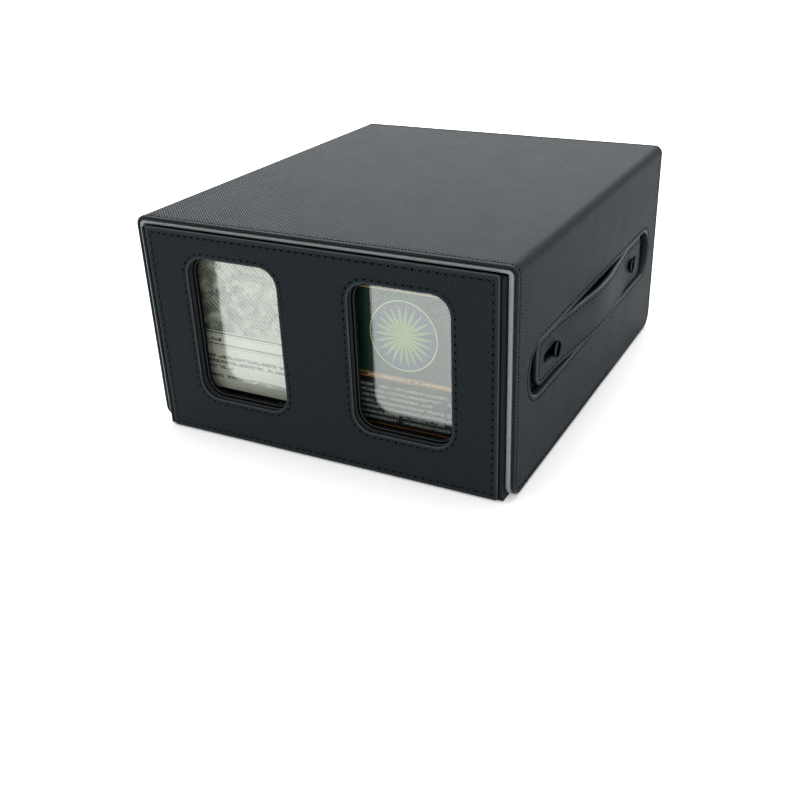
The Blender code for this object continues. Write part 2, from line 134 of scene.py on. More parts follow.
# The leather's highlights are slightly blue-green
coolSheen = (0.80, 0.94, 1.0, 1.0)

# Polyurethane leather cloth, roller-embossed with a diagonal cross grain: near black and dull in the valleys
# of the grain, with a faint sheen off its tips, and a little paler where it has rubbed over an edge. Its
# colour is painted darker in the valleys and paler on the tips: painted shade and painted highlight of the
# grain
leather = {
    # valley and tip colours: painted shade in the grain's valleys and a painted highlight on its tips
    "valley": "#14191b",
    "tip": "#272e31",
    "rubbed": "#4a5257",
    "grainPitch": 1.1,  # mm from ridge to ridge; about 0.85 on the cloth, drawn coarser so that it shows
    "grainDepth": 0.15,
    "grainCut": (-1.3, 1.5),  # sums of the two ridge waves at which the valleys and the tips level off
    "wander": 0.6,  # mm that a row of grain strays
    "wanderSize": 11.11,
    "poreSize": 0.22,
    "poreDepth": 0.012,
    "patchSize": 16.67,
    "patchTone": 0.92,
    "patchiness": 0.02,
    "valleyRoughness": 0.85,
    "tipRoughness": 0.42,
    "shine": 0.068,
}


def leatherCloth(name, plane="unrolled"):
    material, tree = newMaterial(name)
    place = patternPlace(tree, plane)
    # the roller wanders a little, so the rows are not ruler straight
    wander = addNode(tree, "ShaderNodeTexNoise", {
        "Vector": place, "Scale": 1 / (leather["wanderSize"] * mm), "Detail": 2.0,
    })
    shifted = addNode(tree, "ShaderNodeVectorMath", {
        0: wander.outputs["Color"], 1: (leather["wander"] * mm, leather["wander"] * mm, 0.0),
    }, operation="MULTIPLY")
    moved = addNode(tree, "ShaderNodeVectorMath", {0: place, 1: shifted.outputs[0]}, operation="ADD")
    turned = addNode(tree, "ShaderNodeMapping", {
        "Vector": moved.outputs[0], "Rotation": (0.0, 0.0, math.radians(45)),
    })
    across = addNode(tree, "ShaderNodeSeparateXYZ", {0: turned.outputs[0]})
    perMetre = 2 * math.pi / (leather["grainPitch"] * mm)
    ridges = []
    for axis in (0, 1):
        phase = addNode(tree, "ShaderNodeMath", {0: across.outputs[axis], 1: perMetre}, operation="MULTIPLY")
        ridges.append(addNode(tree, "ShaderNodeMath", {0: phase.outputs[0]}, operation="SINE"))
    summed = addNode(tree, "ShaderNodeMath", {
        0: ridges[0].outputs[0], 1: ridges[1].outputs[0],
    }, operation="ADD")
    valleyCut, tipCut = leather["grainCut"]
    height = addNode(tree, "ShaderNodeMapRange", {
        "Value": summed.outputs[0], "From Min": valleyCut, "From Max": tipCut,
    }, interpolation_type="SMOOTHSTEP")
    pores = addNode(tree, "ShaderNodeTexNoise", {
        "Vector": place, "Scale": 1 / (leather["poreSize"] * mm), "Detail": 3.0, "Roughness": 0.6,
    })
    patches = addNode(tree, "ShaderNodeTexNoise", {
        "Vector": place, "Scale": 1 / (leather["patchSize"] * mm), "Detail": 5.0,
    })

    worked = addNode(tree, "ShaderNodeMapRange", {
        "Value": patches.outputs["Fac"], "From Min": noiseLow, "From Max": noiseHigh,
        "To Min": leather["patchTone"], "To Max": 1.0,
    })
    # colour by the grain's height: painted shade in the valleys, painted highlight on the tips
    tone = addNode(tree, "ShaderNodeMath", {0: height.outputs[0], 1: worked.outputs[0]}, operation="MULTIPLY")
    cloth = addNode(tree, "ShaderNodeMix", {
        0: tone.outputs[0], 6: linear(leather["valley"]), 7: linear(leather["tip"]),
    }, data_type="RGBA")
    edge = addNode(tree, "ShaderNodeAttribute", attribute_name="edgeWearAndHighlight")
    rubbed = addNode(tree, "ShaderNodeMath", {
        0: edge.outputs["Fac"], 1: patches.outputs["Fac"],
    }, operation="MULTIPLY")
    colour = addNode(tree, "ShaderNodeMix", {
        0: rubbed.outputs[0], 6: cloth.outputs[2], 7: linear(leather["rubbed"]),
    }, data_type="RGBA")

    polish = addNode(tree, "ShaderNodeMapRange", {
        "Value": height.outputs[0], "To Min": leather["valleyRoughness"], "To Max": leather["tipRoughness"],
    })
    uneven = addNode(tree, "ShaderNodeMapRange", {
        "Value": patches.outputs["Fac"], "From Min": noiseLow, "From Max": noiseHigh,
        "To Min": -leather["patchiness"], "To Max": leather["patchiness"],
    })
    rough = addNode(tree, "ShaderNodeMath", {0: polish.outputs[0], 1: uneven.outputs[0]}, operation="ADD")
    grainBump = addNode(tree, "ShaderNodeBump", {
        "Height": height.outputs[0], "Strength": 1.0, "Distance": leather["grainDepth"] * mm,
    })
    poreBump = addNode(tree, "ShaderNodeBump", {
        "Height": pores.outputs["Fac"], "Strength": 1.0, "Distance": leather["poreDepth"] * mm,
        "Normal": grainBump.outputs[0],
    })
    shader = addNode(tree, "ShaderNodeBsdfPrincipled", {
        "Base Color": colour.outputs[2], "Roughness": rough.outputs[0], "Normal": poreBump.outputs[0],
        "IOR": 1.5, "Specular IOR Level": leather["shine"], "Specular Tint": coolSheen,
    })
    addNode(tree, "ShaderNodeOutputMaterial", {0: shader.outputs[0]})
    return material


# The same cloth where it is pulled round an edge: the grain is stretched nearly flat, so it looks smoother
# and takes a line of light. Its tints are darker than the face's: a painted shade along the edge
shadedTurnedEdge = {
    "lies": "UV",
    # darker than the face: painted shade along the turned edge
    "tints": ("#080a0b", "#14181a"),
    "size": 1.6,
    "depth": 0.03,
    "noise": {"Detail": 5.0, "Roughness": 0.65},
    "surface": {"Roughness": 0.34, "IOR": 1.5, "Specular IOR Level": 0.14, "Specular Tint": coolSheen},
}
# where hands and the strap rub it, it is polished, and paler: partly that wear and partly a painted highlight
# on the strap's edges and the cut-outs' turned reveals
litRubbedEdge = {
    **shadedTurnedEdge,
    # paler tints: rubbed wear and a painted highlight
    "tints": ("#15191b", "#2b3134"),
    "surface": {**shadedTurnedEdge["surface"], "Roughness": 0.3, "Specular IOR Level": 0.4},
}

# The same cloth cut and painted along its edge with black edge ink: flat black, slightly bumpy where the ink
# pooled
edgeInk = {
    "ink": "#040505", "pooled": "#0b0c0d", "poolSize": 1.2, "poolDepth": 0.03,
    "roughness": 0.6, "shine": 0.02,
}


def inkedEdge(name):
    material, tree = newMaterial(name)
    coordinates = addNode(tree, "ShaderNodeTexCoord")
    pools, inked = mottled(tree, edgeInk["ink"], edgeInk["pooled"], {
        "Vector": coordinates.outputs["Object"], "Scale": 1 / (edgeInk["poolSize"] * mm), "Detail": 3.0,
    })
    edge = addNode(tree, "ShaderNodeAttribute", attribute_name="edgeWearAndHighlight")
    colour = addNode(tree, "ShaderNodeMix", {
        0: edge.outputs["Fac"], 6: inked, 7: linear(leather["rubbed"]),
    }, data_type="RGBA")
    bump = addNode(tree, "ShaderNodeBump", {
        "Height": pools, "Strength": 1.0, "Distance": edgeInk["poolDepth"] * mm,
    })
    shader = addNode(tree, "ShaderNodeBsdfPrincipled", {
        "Base Color": colour.outputs[2], "Roughness": edgeInk["roughness"], "Normal": bump.outputs[0],
        "Specular IOR Level": edgeInk["shine"],
    })
    addNode(tree, "ShaderNodeOutputMaterial", {0: shader.outputs[0]})
    return material


# Polyester microfibre felt, brushed: pale grey-green, a soft bloom at a grazing angle and a mottle of laid
# fibres
felt = {
    "dark": "#717c7b", "light": "#949f9e", "fibre": 0.18, "fibreDepth": 0.06, "mottle": 1.4,
    "mottleShare": 0.5, "toneCut": (0.25, 0.75), "roughness": 0.95, "bloom": 0.25, "bloomRoughness": 0.4,
}


def brushedFelt(name):
    material, tree = newMaterial(name)
    coordinates = addNode(tree, "ShaderNodeTexCoord")
    fibres = addNode(tree, "ShaderNodeTexNoise", {
        "Vector": coordinates.outputs["Object"], "Scale": 1 / (felt["fibre"] * mm), "Detail": 4.0,
        "Roughness": 0.7, "Distortion": 1.2,
    })
    mottle = addNode(tree, "ShaderNodeTexNoise", {
        "Vector": coordinates.outputs["Object"], "Scale": 1 / (felt["mottle"] * mm), "Detail": 5.0,
    })
    laid = addNode(tree, "ShaderNodeMix", {
        0: felt["mottleShare"], 2: fibres.outputs["Fac"], 3: mottle.outputs["Fac"],
    })
    darkest, lightest = felt["toneCut"]
    tone = addNode(tree, "ShaderNodeMapRange", {
        "Value": laid.outputs[0], "From Min": darkest, "From Max": lightest,
    })
    colour = addNode(tree, "ShaderNodeMix", {
        0: tone.outputs[0], 6: linear(felt["dark"]), 7: linear(felt["light"]),
    }, data_type="RGBA")
    bump = addNode(tree, "ShaderNodeBump", {
        "Height": fibres.outputs["Fac"], "Strength": 1.0, "Distance": felt["fibreDepth"] * mm,
    })
    shader = addNode(tree, "ShaderNodeBsdfPrincipled", {
        "Base Color": colour.outputs[2], "Roughness": felt["roughness"], "Normal": bump.outputs[0],
        "Sheen Weight": felt["bloom"], "Sheen Roughness": felt["bloomRoughness"],
    })
    addNode(tree, "ShaderNodeOutputMaterial", {0: shader.outputs[0]})
    return material


# Bonded polyester thread, twisted: black with a faint shine along each ply
thread = {
    "dark": "#070808", "light": "#151718", "plyPitch": 0.45, "plyDepth": 0.05,
    "roughness": 0.5, "shine": 0.15,
}


def bondedThread(name):
    material, tree = newMaterial(name)
    coordinates = addNode(tree, "ShaderNodeTexCoord")
    plies = addNode(tree, "ShaderNodeTexWave", {
        "Vector": coordinates.outputs["Object"], "Scale": 1 / (thread["plyPitch"] * mm * 2 * math.pi) * 2,
        "Distortion": 1.0, "Detail": 1.0,
    }, wave_type="BANDS", bands_direction="DIAGONAL")
    colour = addNode(tree, "ShaderNodeMix", {
        0: plies.outputs["Fac"], 6: linear(thread["dark"]), 7: linear(thread["light"]),
    }, data_type="RGBA")
    bump = addNode(tree, "ShaderNodeBump", {
        "Height": plies.outputs["Fac"], "Strength": 1.0, "Distance": thread["plyDepth"] * mm,
    })
    shader = addNode(tree, "ShaderNodeBsdfPrincipled", {
        "Base Color": colour.outputs[2], "Roughness": thread["roughness"], "Normal": bump.outputs[0],
        "Specular IOR Level": thread["shine"],
    })
    addNode(tree, "ShaderNodeOutputMaterial", {0: shader.outputs[0]})
    return material


# Painted shade of the hole that the needle leaves at each end of a stitch: a black, dull lens half sunk in
# the leather, with no highlight
hole = {
    "tints": ("#020202", "#0b0c0c"), "size": 0.2, "surface": {"Roughness": 1.0, "Specular IOR Level": 0.0},
}
# Grey board faced in black paper: dull and near black, with a few pale fibres
board = {
    "tints": ("#070809", "#141617"), "size": 0.5, "depth": 0.02, "noise": {"Detail": 5.0, "Distortion": 2.0},
    "surface": {"Roughness": 0.85},
}
# Sintered neodymium with bright nickel plating: pale silver, slightly orange-peeled
magnet = {
    "tints": ("#a9a9a8", "#c9c9c7"), "size": 2 / 3, "depth": 0.01,
    "surface": {"Metallic": 1.0, "Roughness": 0.28},
}
# Uncoated edge and back of a card: warm white with a fibrous bite
cardStock = {
    "tints": ("#c4c2b8", "#d9d8d0"), "size": 0.4, "noise": {"Detail": 4.0}, "surface": {"Roughness": 0.7},
}

# ABS, injection moulded from a spark-eroded tool: black, a fine even texture and a dim gloss, with a pale
# painted highlight along the rounded turn of each window frame's lip
plastic = {
    "dark": "#040505", "light": "#090a0a", "wornAndLit": "#3a4145", "textureSize": 0.3, "textureDepth": 0.012,
    "handledSize": 16.67, "roughness": (0.26, 0.36), "shine": 0.01,
}


def mouldedPlastic(name):
    material, tree = newMaterial(name)
    coordinates = addNode(tree, "ShaderNodeTexCoord")
    texture = addNode(tree, "ShaderNodeTexNoise", {
        "Vector": coordinates.outputs["Object"], "Scale": 1 / (plastic["textureSize"] * mm), "Detail": 2.0,
    })
    handled, moulded = mottled(tree, plastic["dark"], plastic["light"], {
        "Vector": coordinates.outputs["Object"], "Scale": 1 / (plastic["handledSize"] * mm), "Detail": 5.0,
    })
    # pale along the lip's rounded turn: a painted highlight
    edge = addNode(tree, "ShaderNodeAttribute", attribute_name="edgeWearAndHighlight")
    colour = addNode(tree, "ShaderNodeMix", {
        0: edge.outputs["Fac"], 6: moulded, 7: linear(plastic["wornAndLit"]),
    }, data_type="RGBA")
    smoothest, roughest = plastic["roughness"]
    rough = addNode(tree, "ShaderNodeMapRange", {
        "Value": handled, "From Min": noiseLow, "From Max": noiseHigh,
        "To Min": smoothest, "To Max": roughest,
    })
    bump = addNode(tree, "ShaderNodeBump", {
        "Height": texture.outputs["Fac"], "Strength": 0.6, "Distance": plastic["textureDepth"] * mm,
    })
    shader = addNode(tree, "ShaderNodeBsdfPrincipled", {
        "Base Color": colour.outputs[2], "Roughness": rough.outputs[0], "Normal": bump.outputs[0],
        "IOR": 1.54, "Specular IOR Level": plastic["shine"],
    })
    addNode(tree, "ShaderNodeOutputMaterial", {0: shader.outputs[0]})
    return material


# Clear rigid PVC sheet: colourless, mirror smooth but for faint wiping marks, and both its faces reflect like
# glass
pane = {
    "tint": "#f6f9f8", "roughness": 0.02, "wiped": 0.045, "wipeSize": 22.22, "wipeCut": (0.45, 0.75),
    "straightOn": 0.08, "grazingPower": 5.0,
}


def clearSheet(name):
    material, tree = newMaterial(name)
    coordinates = addNode(tree, "ShaderNodeTexCoord")
    wipes = addNode(tree, "ShaderNodeTexNoise", {
        "Vector": coordinates.outputs["Object"], "Scale": 1 / (pane["wipeSize"] * mm), "Detail": 6.0,
        "Distortion": 1.5,
    })
    clean, smeared = pane["wipeCut"]
    rough = addNode(tree, "ShaderNodeMapRange", {
        "Value": wipes.outputs["Fac"], "From Min": clean, "From Max": smeared,
        "To Min": pane["roughness"], "To Max": pane["wiped"],
    })
    # more of a mirror toward a grazing view, and the same from both faces of the sheet
    facing = addNode(tree, "ShaderNodeLayerWeight", {"Blend": 0.5})
    grazing = addNode(tree, "ShaderNodeMath", {
        0: facing.outputs["Facing"], 1: pane["grazingPower"],
    }, operation="POWER")
    mirror = addNode(tree, "ShaderNodeMapRange", {
        "Value": grazing.outputs[0], "To Min": pane["straightOn"], "To Max": 1.0,
    })
    through = addNode(tree, "ShaderNodeBsdfTransparent", {"Color": linear(pane["tint"])})
    gloss = addNode(tree, "ShaderNodeBsdfAnisotropic", {
        "Color": (1.0, 1.0, 1.0, 1.0), "Roughness": rough.outputs[0],
    })
    shader = addNode(tree, "ShaderNodeMixShader", {
        0: mirror.outputs[0], 1: through.outputs[0], 2: gloss.outputs[0],
    })
    addNode(tree, "ShaderNodeOutputMaterial", {0: shader.outputs[0]})
    return material


# Steel with a black nickel plating, tumbled before it is plated: dark mirror with fine random scratches
plating = {
    "base": "#26282a", "bright": "#404345", "roughness": (0.14, 0.26), "scratchLength": 2.5,
    "scratchWidth": 0.25, "scratchLie": (0.6, 0.3, 0.4), "edgeTint": (0.2, 0.2, 0.2, 1.0),
}


def blackNickel(name):
    material, tree = newMaterial(name)
    coordinates = addNode(tree, "ShaderNodeTexCoord")
    perLength, perWidth = 1 / (plating["scratchLength"] * mm), 1 / (plating["scratchWidth"] * mm)
    stretched = addNode(tree, "ShaderNodeMapping", {
        "Vector": coordinates.outputs["Object"], "Rotation": plating["scratchLie"],
        "Scale": (perLength, perWidth, perWidth),
    })
    scratches, colour = mottled(tree, plating["base"], plating["bright"], {
        "Vector": stretched.outputs[0], "Scale": 1.0, "Detail": 3.0,
    })
    smoothest, roughest = plating["roughness"]
    rough = addNode(tree, "ShaderNodeMapRange", {
        "Value": scratches, "From Min": noiseLow, "From Max": noiseHigh,
        "To Min": smoothest, "To Max": roughest,
    })
    shader = addNode(tree, "ShaderNodeBsdfPrincipled", {
        "Base Color": colour, "Metallic": 1.0, "Roughness": rough.outputs[0],
        "Specular Tint": plating["edgeTint"],
    })
    addNode(tree, "ShaderNodeOutputMaterial", {0: shader.outputs[0]})
    return material


grainCloth = leatherCloth("embossed PU leather")
shadedTurnedCloth = mottledMaterial("turned PU leather edge, painted shade", shadedTurnedEdge)
litRubbedCloth = mottledMaterial("rubbed PU leather edge, painted highlight", litRubbedEdge)
panelEdge = inkedEdge("black edge ink")
feltCloth = brushedFelt("brushed microfibre felt")
threadCoat = bondedThread("black bonded thread")
holeShade = mottledMaterial("needle hole painted shade", hole)
boardPaper = mottledMaterial("black paper on grey board", board)
frameAbs = mouldedPlastic("black moulded ABS")
paneSheet = clearSheet("clear PVC sheet")
studPlating = blackNickel("black nickel plating")
magnetPlating = mottledMaterial("bright nickel plating", magnet)
stockEdge = mottledMaterial("uncoated card stock", cardStock)
print("made", len(bpy.data.materials), "materials")


# Mesh tools: a slab is drawn flat as loops with an edge profile, then laid where it belongs

# The least radius of a corner, and how near two sizes or two points count as one
leastRadius, sameSize, samePoint = 0.05, 0.001, 0.0001
# Unevenness of a board under its leather, down to a depth: wavelength, share of the height, and seed
boardWaves = ((55.0, 1.0, 3.1), (19.0, 0.3, 7.7))
wavesReach = 0.8


def toScene(name, data):
    item = bpy.data.objects.new(name, data)
    bpy.context.scene.collection.objects.link(item)
    return item


# Makes a drawn shape a piece
def pieceFrom(name, shape, materials):
    bmesh.ops.recalc_face_normals(shape, faces=shape.faces)
    mesh = bpy.data.meshes.new(name)
    shape.to_mesh(mesh)
    shape.free()
    for material in materials:
        mesh.materials.append(material)
    return toScene(name, mesh)


# A rectangle with round corners, its points anticlockwise, drawn in from its edge by inset, or outward for a
# hole
def roundedLoop(shape, inset, steps):
    grow = inset if shape.get("hole") else -inset
    halfWidth, halfHeight = shape["width"] / 2 + grow, shape["height"] / 2 + grow
    radius = min(max(shape["radius"] + grow, leastRadius), halfWidth, halfHeight)
    roundAcross = shape["radius"] > shape["width"] / 2 - sameSize
    roundAlong = shape["radius"] > shape["height"] / 2 - sameSize
    points = []
    for signX, signY, start in ((1, -1, 270), (1, 1, 0), (-1, 1, 90), (-1, -1, 180)):
        meets = roundAcross if start in (270, 90) else roundAlong
        for step in range(1 if meets else 0, steps + 1):
            angle = math.radians(start + 90 * step / steps)
            points.append(Vector((
                shape["centre"][0] + signX * (halfWidth - radius) + radius * math.cos(angle),
                shape["centre"][1] + signY * (halfHeight - radius) + radius * math.sin(angle),
            )))
    return points


# A slab with its face at depth 0. Each loop comes with a profile from the face, over its edge, to the back:
# rows of inset, depth, edge wear (on the window frames a painted highlight) and material slot
def flatSlab(loops, steps=8):
    slab = bmesh.new()
    pattern = slab.loops.layers.uv.new("pattern")
    wearAndLight = slab.verts.layers.float.new("edgeWearAndHighlight")
    patternAt = {}
    faceEdges, backEdges = [], []
    for shape, profile in loops:
        rings, run = [], 0.0
        for row, (inset, depth, wornAndLit, slot) in enumerate(profile):
            if row:
                run += math.hypot(inset - profile[row - 1][0], depth - profile[row - 1][1])
            ring = []
            unrolled = roundedLoop(shape, profile[0][0] - run, steps)
            for point, spread in zip(roundedLoop(shape, inset, steps), unrolled):
                vert = slab.verts.new((point.x, point.y, -depth))
                vert[wearAndLight] = wornAndLit
                patternAt[vert] = spread * mm
                ring.append(vert)
            if row:
                for here in range(len(ring)):
                    there = (here + 1) % len(ring)
                    strip = slab.faces.new((rings[-1][here], rings[-1][there], ring[there], ring[here]))
                    strip.material_index = slot
            rings.append(ring)
        for edges, ring in ((faceEdges, rings[0]), (backEdges, rings[-1])):
            for here in range(len(ring)):
                edges.append(slab.edges.get((ring[here], ring[(here + 1) % len(ring)])))
    for edges in (faceEdges, backEdges):
        bmesh.ops.triangle_fill(slab, edges=edges, use_beauty=True, normal=(0, 0, 1))
    for face in slab.faces:
        for corner in face.loops:
            corner[pattern].uv = patternAt[corner.vert]
    return slab


def divide(slab, axis, places):
    normal = Vector((1, 0, 0)) if axis == 0 else Vector((0, 1, 0))
    for place in places:
        parts = slab.verts[:] + slab.edges[:] + slab.faces[:]
        bmesh.ops.bisect_plane(slab, geom=parts, dist=samePoint, plane_co=normal * place, plane_no=normal)


# The part of a flat slab between two places across it, with its cut ends closed
def lengthOf(slab, low, high):
    part = slab.copy()
    cutEnd = part.faces.layers.int.new("cutEnd")
    normal = Vector((1, 0, 0))
    for place, facing in ((low, -1), (high, 1)):
        if place is None:
            continue
        geometry = part.verts[:] + part.edges[:] + part.faces[:]
        bmesh.ops.bisect_plane(
            part, geom=geometry, dist=samePoint, plane_co=normal * place, plane_no=normal * facing,
            clear_outer=True,
        )
        rim = [edge for edge in part.edges if edge.is_boundary]
        for cap in bmesh.ops.triangle_fill(part, edges=rim, use_beauty=True, normal=normal * facing)["geom"]:
            if isinstance(cap, bmesh.types.BMFace):
                cap[cutEnd] = 1
    return part


# Lays a flat slab where it belongs and makes it a piece
def laidPiece(name, slab, place, materials, waves=None):
    for vert in slab.verts:
        along, up, depth = vert.co.x, vert.co.y, -vert.co.z
        if waves and depth < wavesReach:
            height = waves(along)
            for length, share, seed in boardWaves:
                depth += share * height * noise.noise(Vector((along / length, up / length, seed)))
        vert.co = place(along, up, depth) * mm
    cutEnd = slab.faces.layers.int.get("cutEnd")
    for face in slab.faces:
        face.smooth = not (cutEnd and face[cutEnd])
    if cutEnd:
        for edge in slab.edges:
            edge.smooth = len({face[cutEnd] for face in edge.link_faces}) == 1
        slab.faces.layers.int.remove(cutEnd)
    return pieceFrom(name, slab, materials)


# Stitching: each stitch dives into the leather at both ends; a black lens at each needle hole is
# painted shade
stitch = {
    "pitch": 3.7,
    "length": 2.8,
    "radius": 0.27,
    "sides": 6,
    # shares of half the length along, and how deep the thread lies there
    "dive": ((-1.0, 0.62), (-0.8, 0.16), (-0.4, -0.06), (0.4, -0.06), (0.8, 0.16), (1.0, 0.62)),
    "aboveGroove": 0.02,
    "cornerSteps": 24,
    # the black lens that is painted shade in each needle hole
    "holeShadeSides": 8,
    "holeShadeLength": 0.64,
    "holeShadeWidth": 0.52,
    "holeShadeLip": 0.04,
    "holeShadeCrown": 0.07,
    "holeShadeRoot": 0.25,
}


# Points and directions along a seam, a set distance inside a loop
def seamRun(shape, inset):
    points = roundedLoop(shape, inset, stitch["cornerSteps"])
    lengths = [0.0]
    for here, there in zip(points, points[1:] + points[:1]):
        lengths.append(lengths[-1] + (there - here).length)
    return points + points[:1], lengths


def alongSeam(run, distance):
    points, lengths = run
    distance %= lengths[-1]
    low, high = 0, len(lengths) - 1
    while high - low > 1:
        middle = (low + high) // 2
        if lengths[middle] <= distance:
            low = middle
        else:
            high = middle
    share = (distance - lengths[low]) / max(lengths[high] - lengths[low], 1e-9)
    return points[low].lerp(points[high], share), (points[high] - points[low]).normalized()


def stitching(name, seams, place, keep=None):
    shape = bmesh.new()
    for loop, inset, level, facing in seams:
        run = seamRun(loop, inset)
        total = run[1][-1]
        count = max(4, round(total / stitch["pitch"]))
        for number in range(count):
            start = total * (number + 0.5) / count
            middle, _ = alongSeam(run, start)
            if keep and not keep(middle.x, middle.y):
                continue
            rings = []
            for offset, sunk in stitch["dive"]:
                point, tangent = alongSeam(run, start + offset * stitch["length"] / 2)
                across = Vector((-tangent.y, tangent.x))
                ring = []
                for side in range(stitch["sides"]):
                    angle = 2 * math.pi * side / stitch["sides"]
                    spot = point + across * stitch["radius"] * math.cos(angle)
                    depth = level + facing * (sunk - stitch["radius"] * math.sin(angle))
                    ring.append(shape.verts.new(place(spot.x, spot.y, depth) * mm))
                rings.append(ring)
            for back, front in zip(rings, rings[1:]):
                for side in range(stitch["sides"]):
                    other = (side + 1) % stitch["sides"]
                    shape.faces.new((back[side], back[other], front[other], front[side])).smooth = True
            shape.faces.new(rings[0])
            shape.faces.new(rings[-1])
            # painted shade of the needle hole after this stitch: a black lens, half sunk in the leather
            point, tangent = alongSeam(run, start + total / count / 2)
            across = Vector((-tangent.y, tangent.x))
            rim = []
            for side in range(stitch["holeShadeSides"]):
                angle = 2 * math.pi * side / stitch["holeShadeSides"]
                spot = point + tangent * stitch["holeShadeLength"] * math.cos(angle)
                spot += across * stitch["holeShadeWidth"] * math.sin(angle)
                rim.append(shape.verts.new(place(spot.x, spot.y, level - facing * stitch["holeShadeLip"]) * mm))
            crown = shape.verts.new(place(point.x, point.y, level - facing * stitch["holeShadeCrown"]) * mm)
            root = shape.verts.new(place(point.x, point.y, level + facing * stitch["holeShadeRoot"]) * mm)
            for side in range(stitch["holeShadeSides"]):
                other = (side + 1) % stitch["holeShadeSides"]
                for tip in (crown, root):
                    shape.faces.new((rim[side], rim[other], tip)).material_index = 1
    return pieceFrom(name, shape, (threadCoat, holeShade))


# Numbers from low to high, no further apart than step
def evenly(low, high, step):
    count = max(1, math.ceil((high - low) / step))
    return [low + (high - low) * number / count for number in range(count + 1)]


# The wrap-around cover: PU leather outside, felt inside, folded twice
wrap = {
    "foldRadius": 4.4,
    "cornerRadius": 8.0,
    "cutoutLength": 187.0,
    "cutoutHeight": 24.5,
    "seamInset": 2.6,
    "seamDepth": 0.14,
    "liningStart": 1.9,
    "liningEnd": 4.0,
    "feltOnTop": 0.66,
    "feltThinsOver": 3.0,
    "liningCutoutMargin": 1.2,
    "seamAcrossTop": -78.0,  # where the left piece of the mesh meets the right one, on the flat top
    "waves": 0.16,
    "tightBeside": 25.0,
    "foldSpread": 2.1,  # how far beyond the corner's curve a fold starts and ends
    "feltTurn": 3.2,
    "feltRise": 0.1,
    "meshStep": 9.0,
    "foldStep": 0.55,
    "foldMargin": 1.0,
    "footMargin": 10.0,
    "endMargin": 6.0,
}
flapLow, flapHigh = nodeBox("right_flap_leather")
_, topHigh = nodeBox("top_leather")
strapLow, strapHigh = nodeBox("right_strap_middle")
outside, depthHalf, caseTop, flapFoot = flapHigh.x, flapHigh.y, topHigh.z, flapLow.z
strapHeight = (strapLow.z + strapHigh.z) / 2
foldX, foldZ = outside - wrap["foldRadius"], caseTop - wrap["foldRadius"]
foldRun = wrap["foldRadius"] * math.pi / 2
wrapHalf = foldX + foldRun + foldZ - flapFoot


# A point of the cover from its place in the flat pattern: across from the middle of the top, along, and depth
def onWrap(across, along, depth):
    side, reach = math.copysign(1, across), abs(across)
    if reach <= foldX:
        return Vector((across, along, caseTop - depth))
    if reach <= foldX + foldRun:
        angle = (reach - foldX) / wrap["foldRadius"]
        radius = wrap["foldRadius"] - depth
        return Vector((side * (foldX + radius * math.sin(angle)), along, foldZ + radius * math.cos(angle)))
    return Vector((side * (outside - depth), along, foldZ - (reach - foldX - foldRun)))


# The felt is pressed thinner over the top than down the sides
def onWrapFelt(across, along, depth):
    over = wrap["feltThinsOver"]
    spread = min(max((abs(across) - foldX + over) / (foldRun + over), 0.0), 1.0)
    spread = spread * spread * (3 - 2 * spread)
    share = wrap["feltOnTop"] + (1 - wrap["feltOnTop"]) * spread
    return onWrap(across, along, wrap["liningStart"] + (depth - wrap["liningStart"]) * share)


# Where the board under the leather is uneven; over the folds the leather is drawn tight
def coverWaves(across):
    return wrap["waves"] * min(abs(abs(across) - foldX - foldRun / 2) / wrap["tightBeside"], 1.0)


cutoutAcross = foldX + foldRun + foldZ - strapHeight


def wrapLoops(edgeProfile, cutoutProfile, margin):
    loops = [({
        "centre": (0, 0), "width": 2 * wrapHalf, "height": 2 * depthHalf, "radius": wrap["cornerRadius"],
    }, edgeProfile)]
    for side in (-1, 1):
        loops.append(({
            "centre": (side * cutoutAcross, 0), "width": wrap["cutoutHeight"] + 2 * margin,
            "height": wrap["cutoutLength"] + 2 * margin, "radius": wrap["cutoutHeight"] / 2 + margin,
            "hole": True,
        }, cutoutProfile))
    return loops


def wrapDivided(slab):
    step, beside = wrap["meshStep"], wrap["foldMargin"]
    foot, end = wrapHalf - wrap["footMargin"], depthHalf - wrap["endMargin"]
    folds = evenly(foldX - beside, foldX + foldRun + beside, wrap["foldStep"])
    divide(slab, 0, evenly(-foot, -folds[-1], step) + [-place for place in folds])
    divide(slab, 0, evenly(-foldX + beside, foldX - beside, step) + folds + evenly(folds[-1], foot, step))
    divide(slab, 1, evenly(-end, end, step))


seam, dip = wrap["seamInset"], wrap["seamDepth"]
# over the leather's edge: a stitched groove, a slightly full edge, and the turn
faceToEdge = [
    (seam + 3.0, 0.0, 0.0, 0),
    (seam + 0.9, 0.0, 0.0, 0),
    (seam + 0.45, 0.7 * dip, 0.0, 0),
    (seam, dip, 0.0, 0),
    (seam - 0.45, 0.7 * dip, 0.0, 0),
    (seam - 0.9, 0.0, 0.15, 0),
    (1.1, -0.03, 0.3, 0),
    (0.65, 0.02, 0.7, 0),
    (0.3, 0.16, 1.0, 1),
    (0.08, 0.42, 1.0, 1),
    (0.0, 0.75, 0.6, 1),
]
leatherEdge = faceToEdge + [(0.0, 1.15, 0.3, 1), (0.1, 1.45, 0.1, 1), (0.4, 1.6, 0.0, 1), (1.5, 1.6, 0.0, 1)]
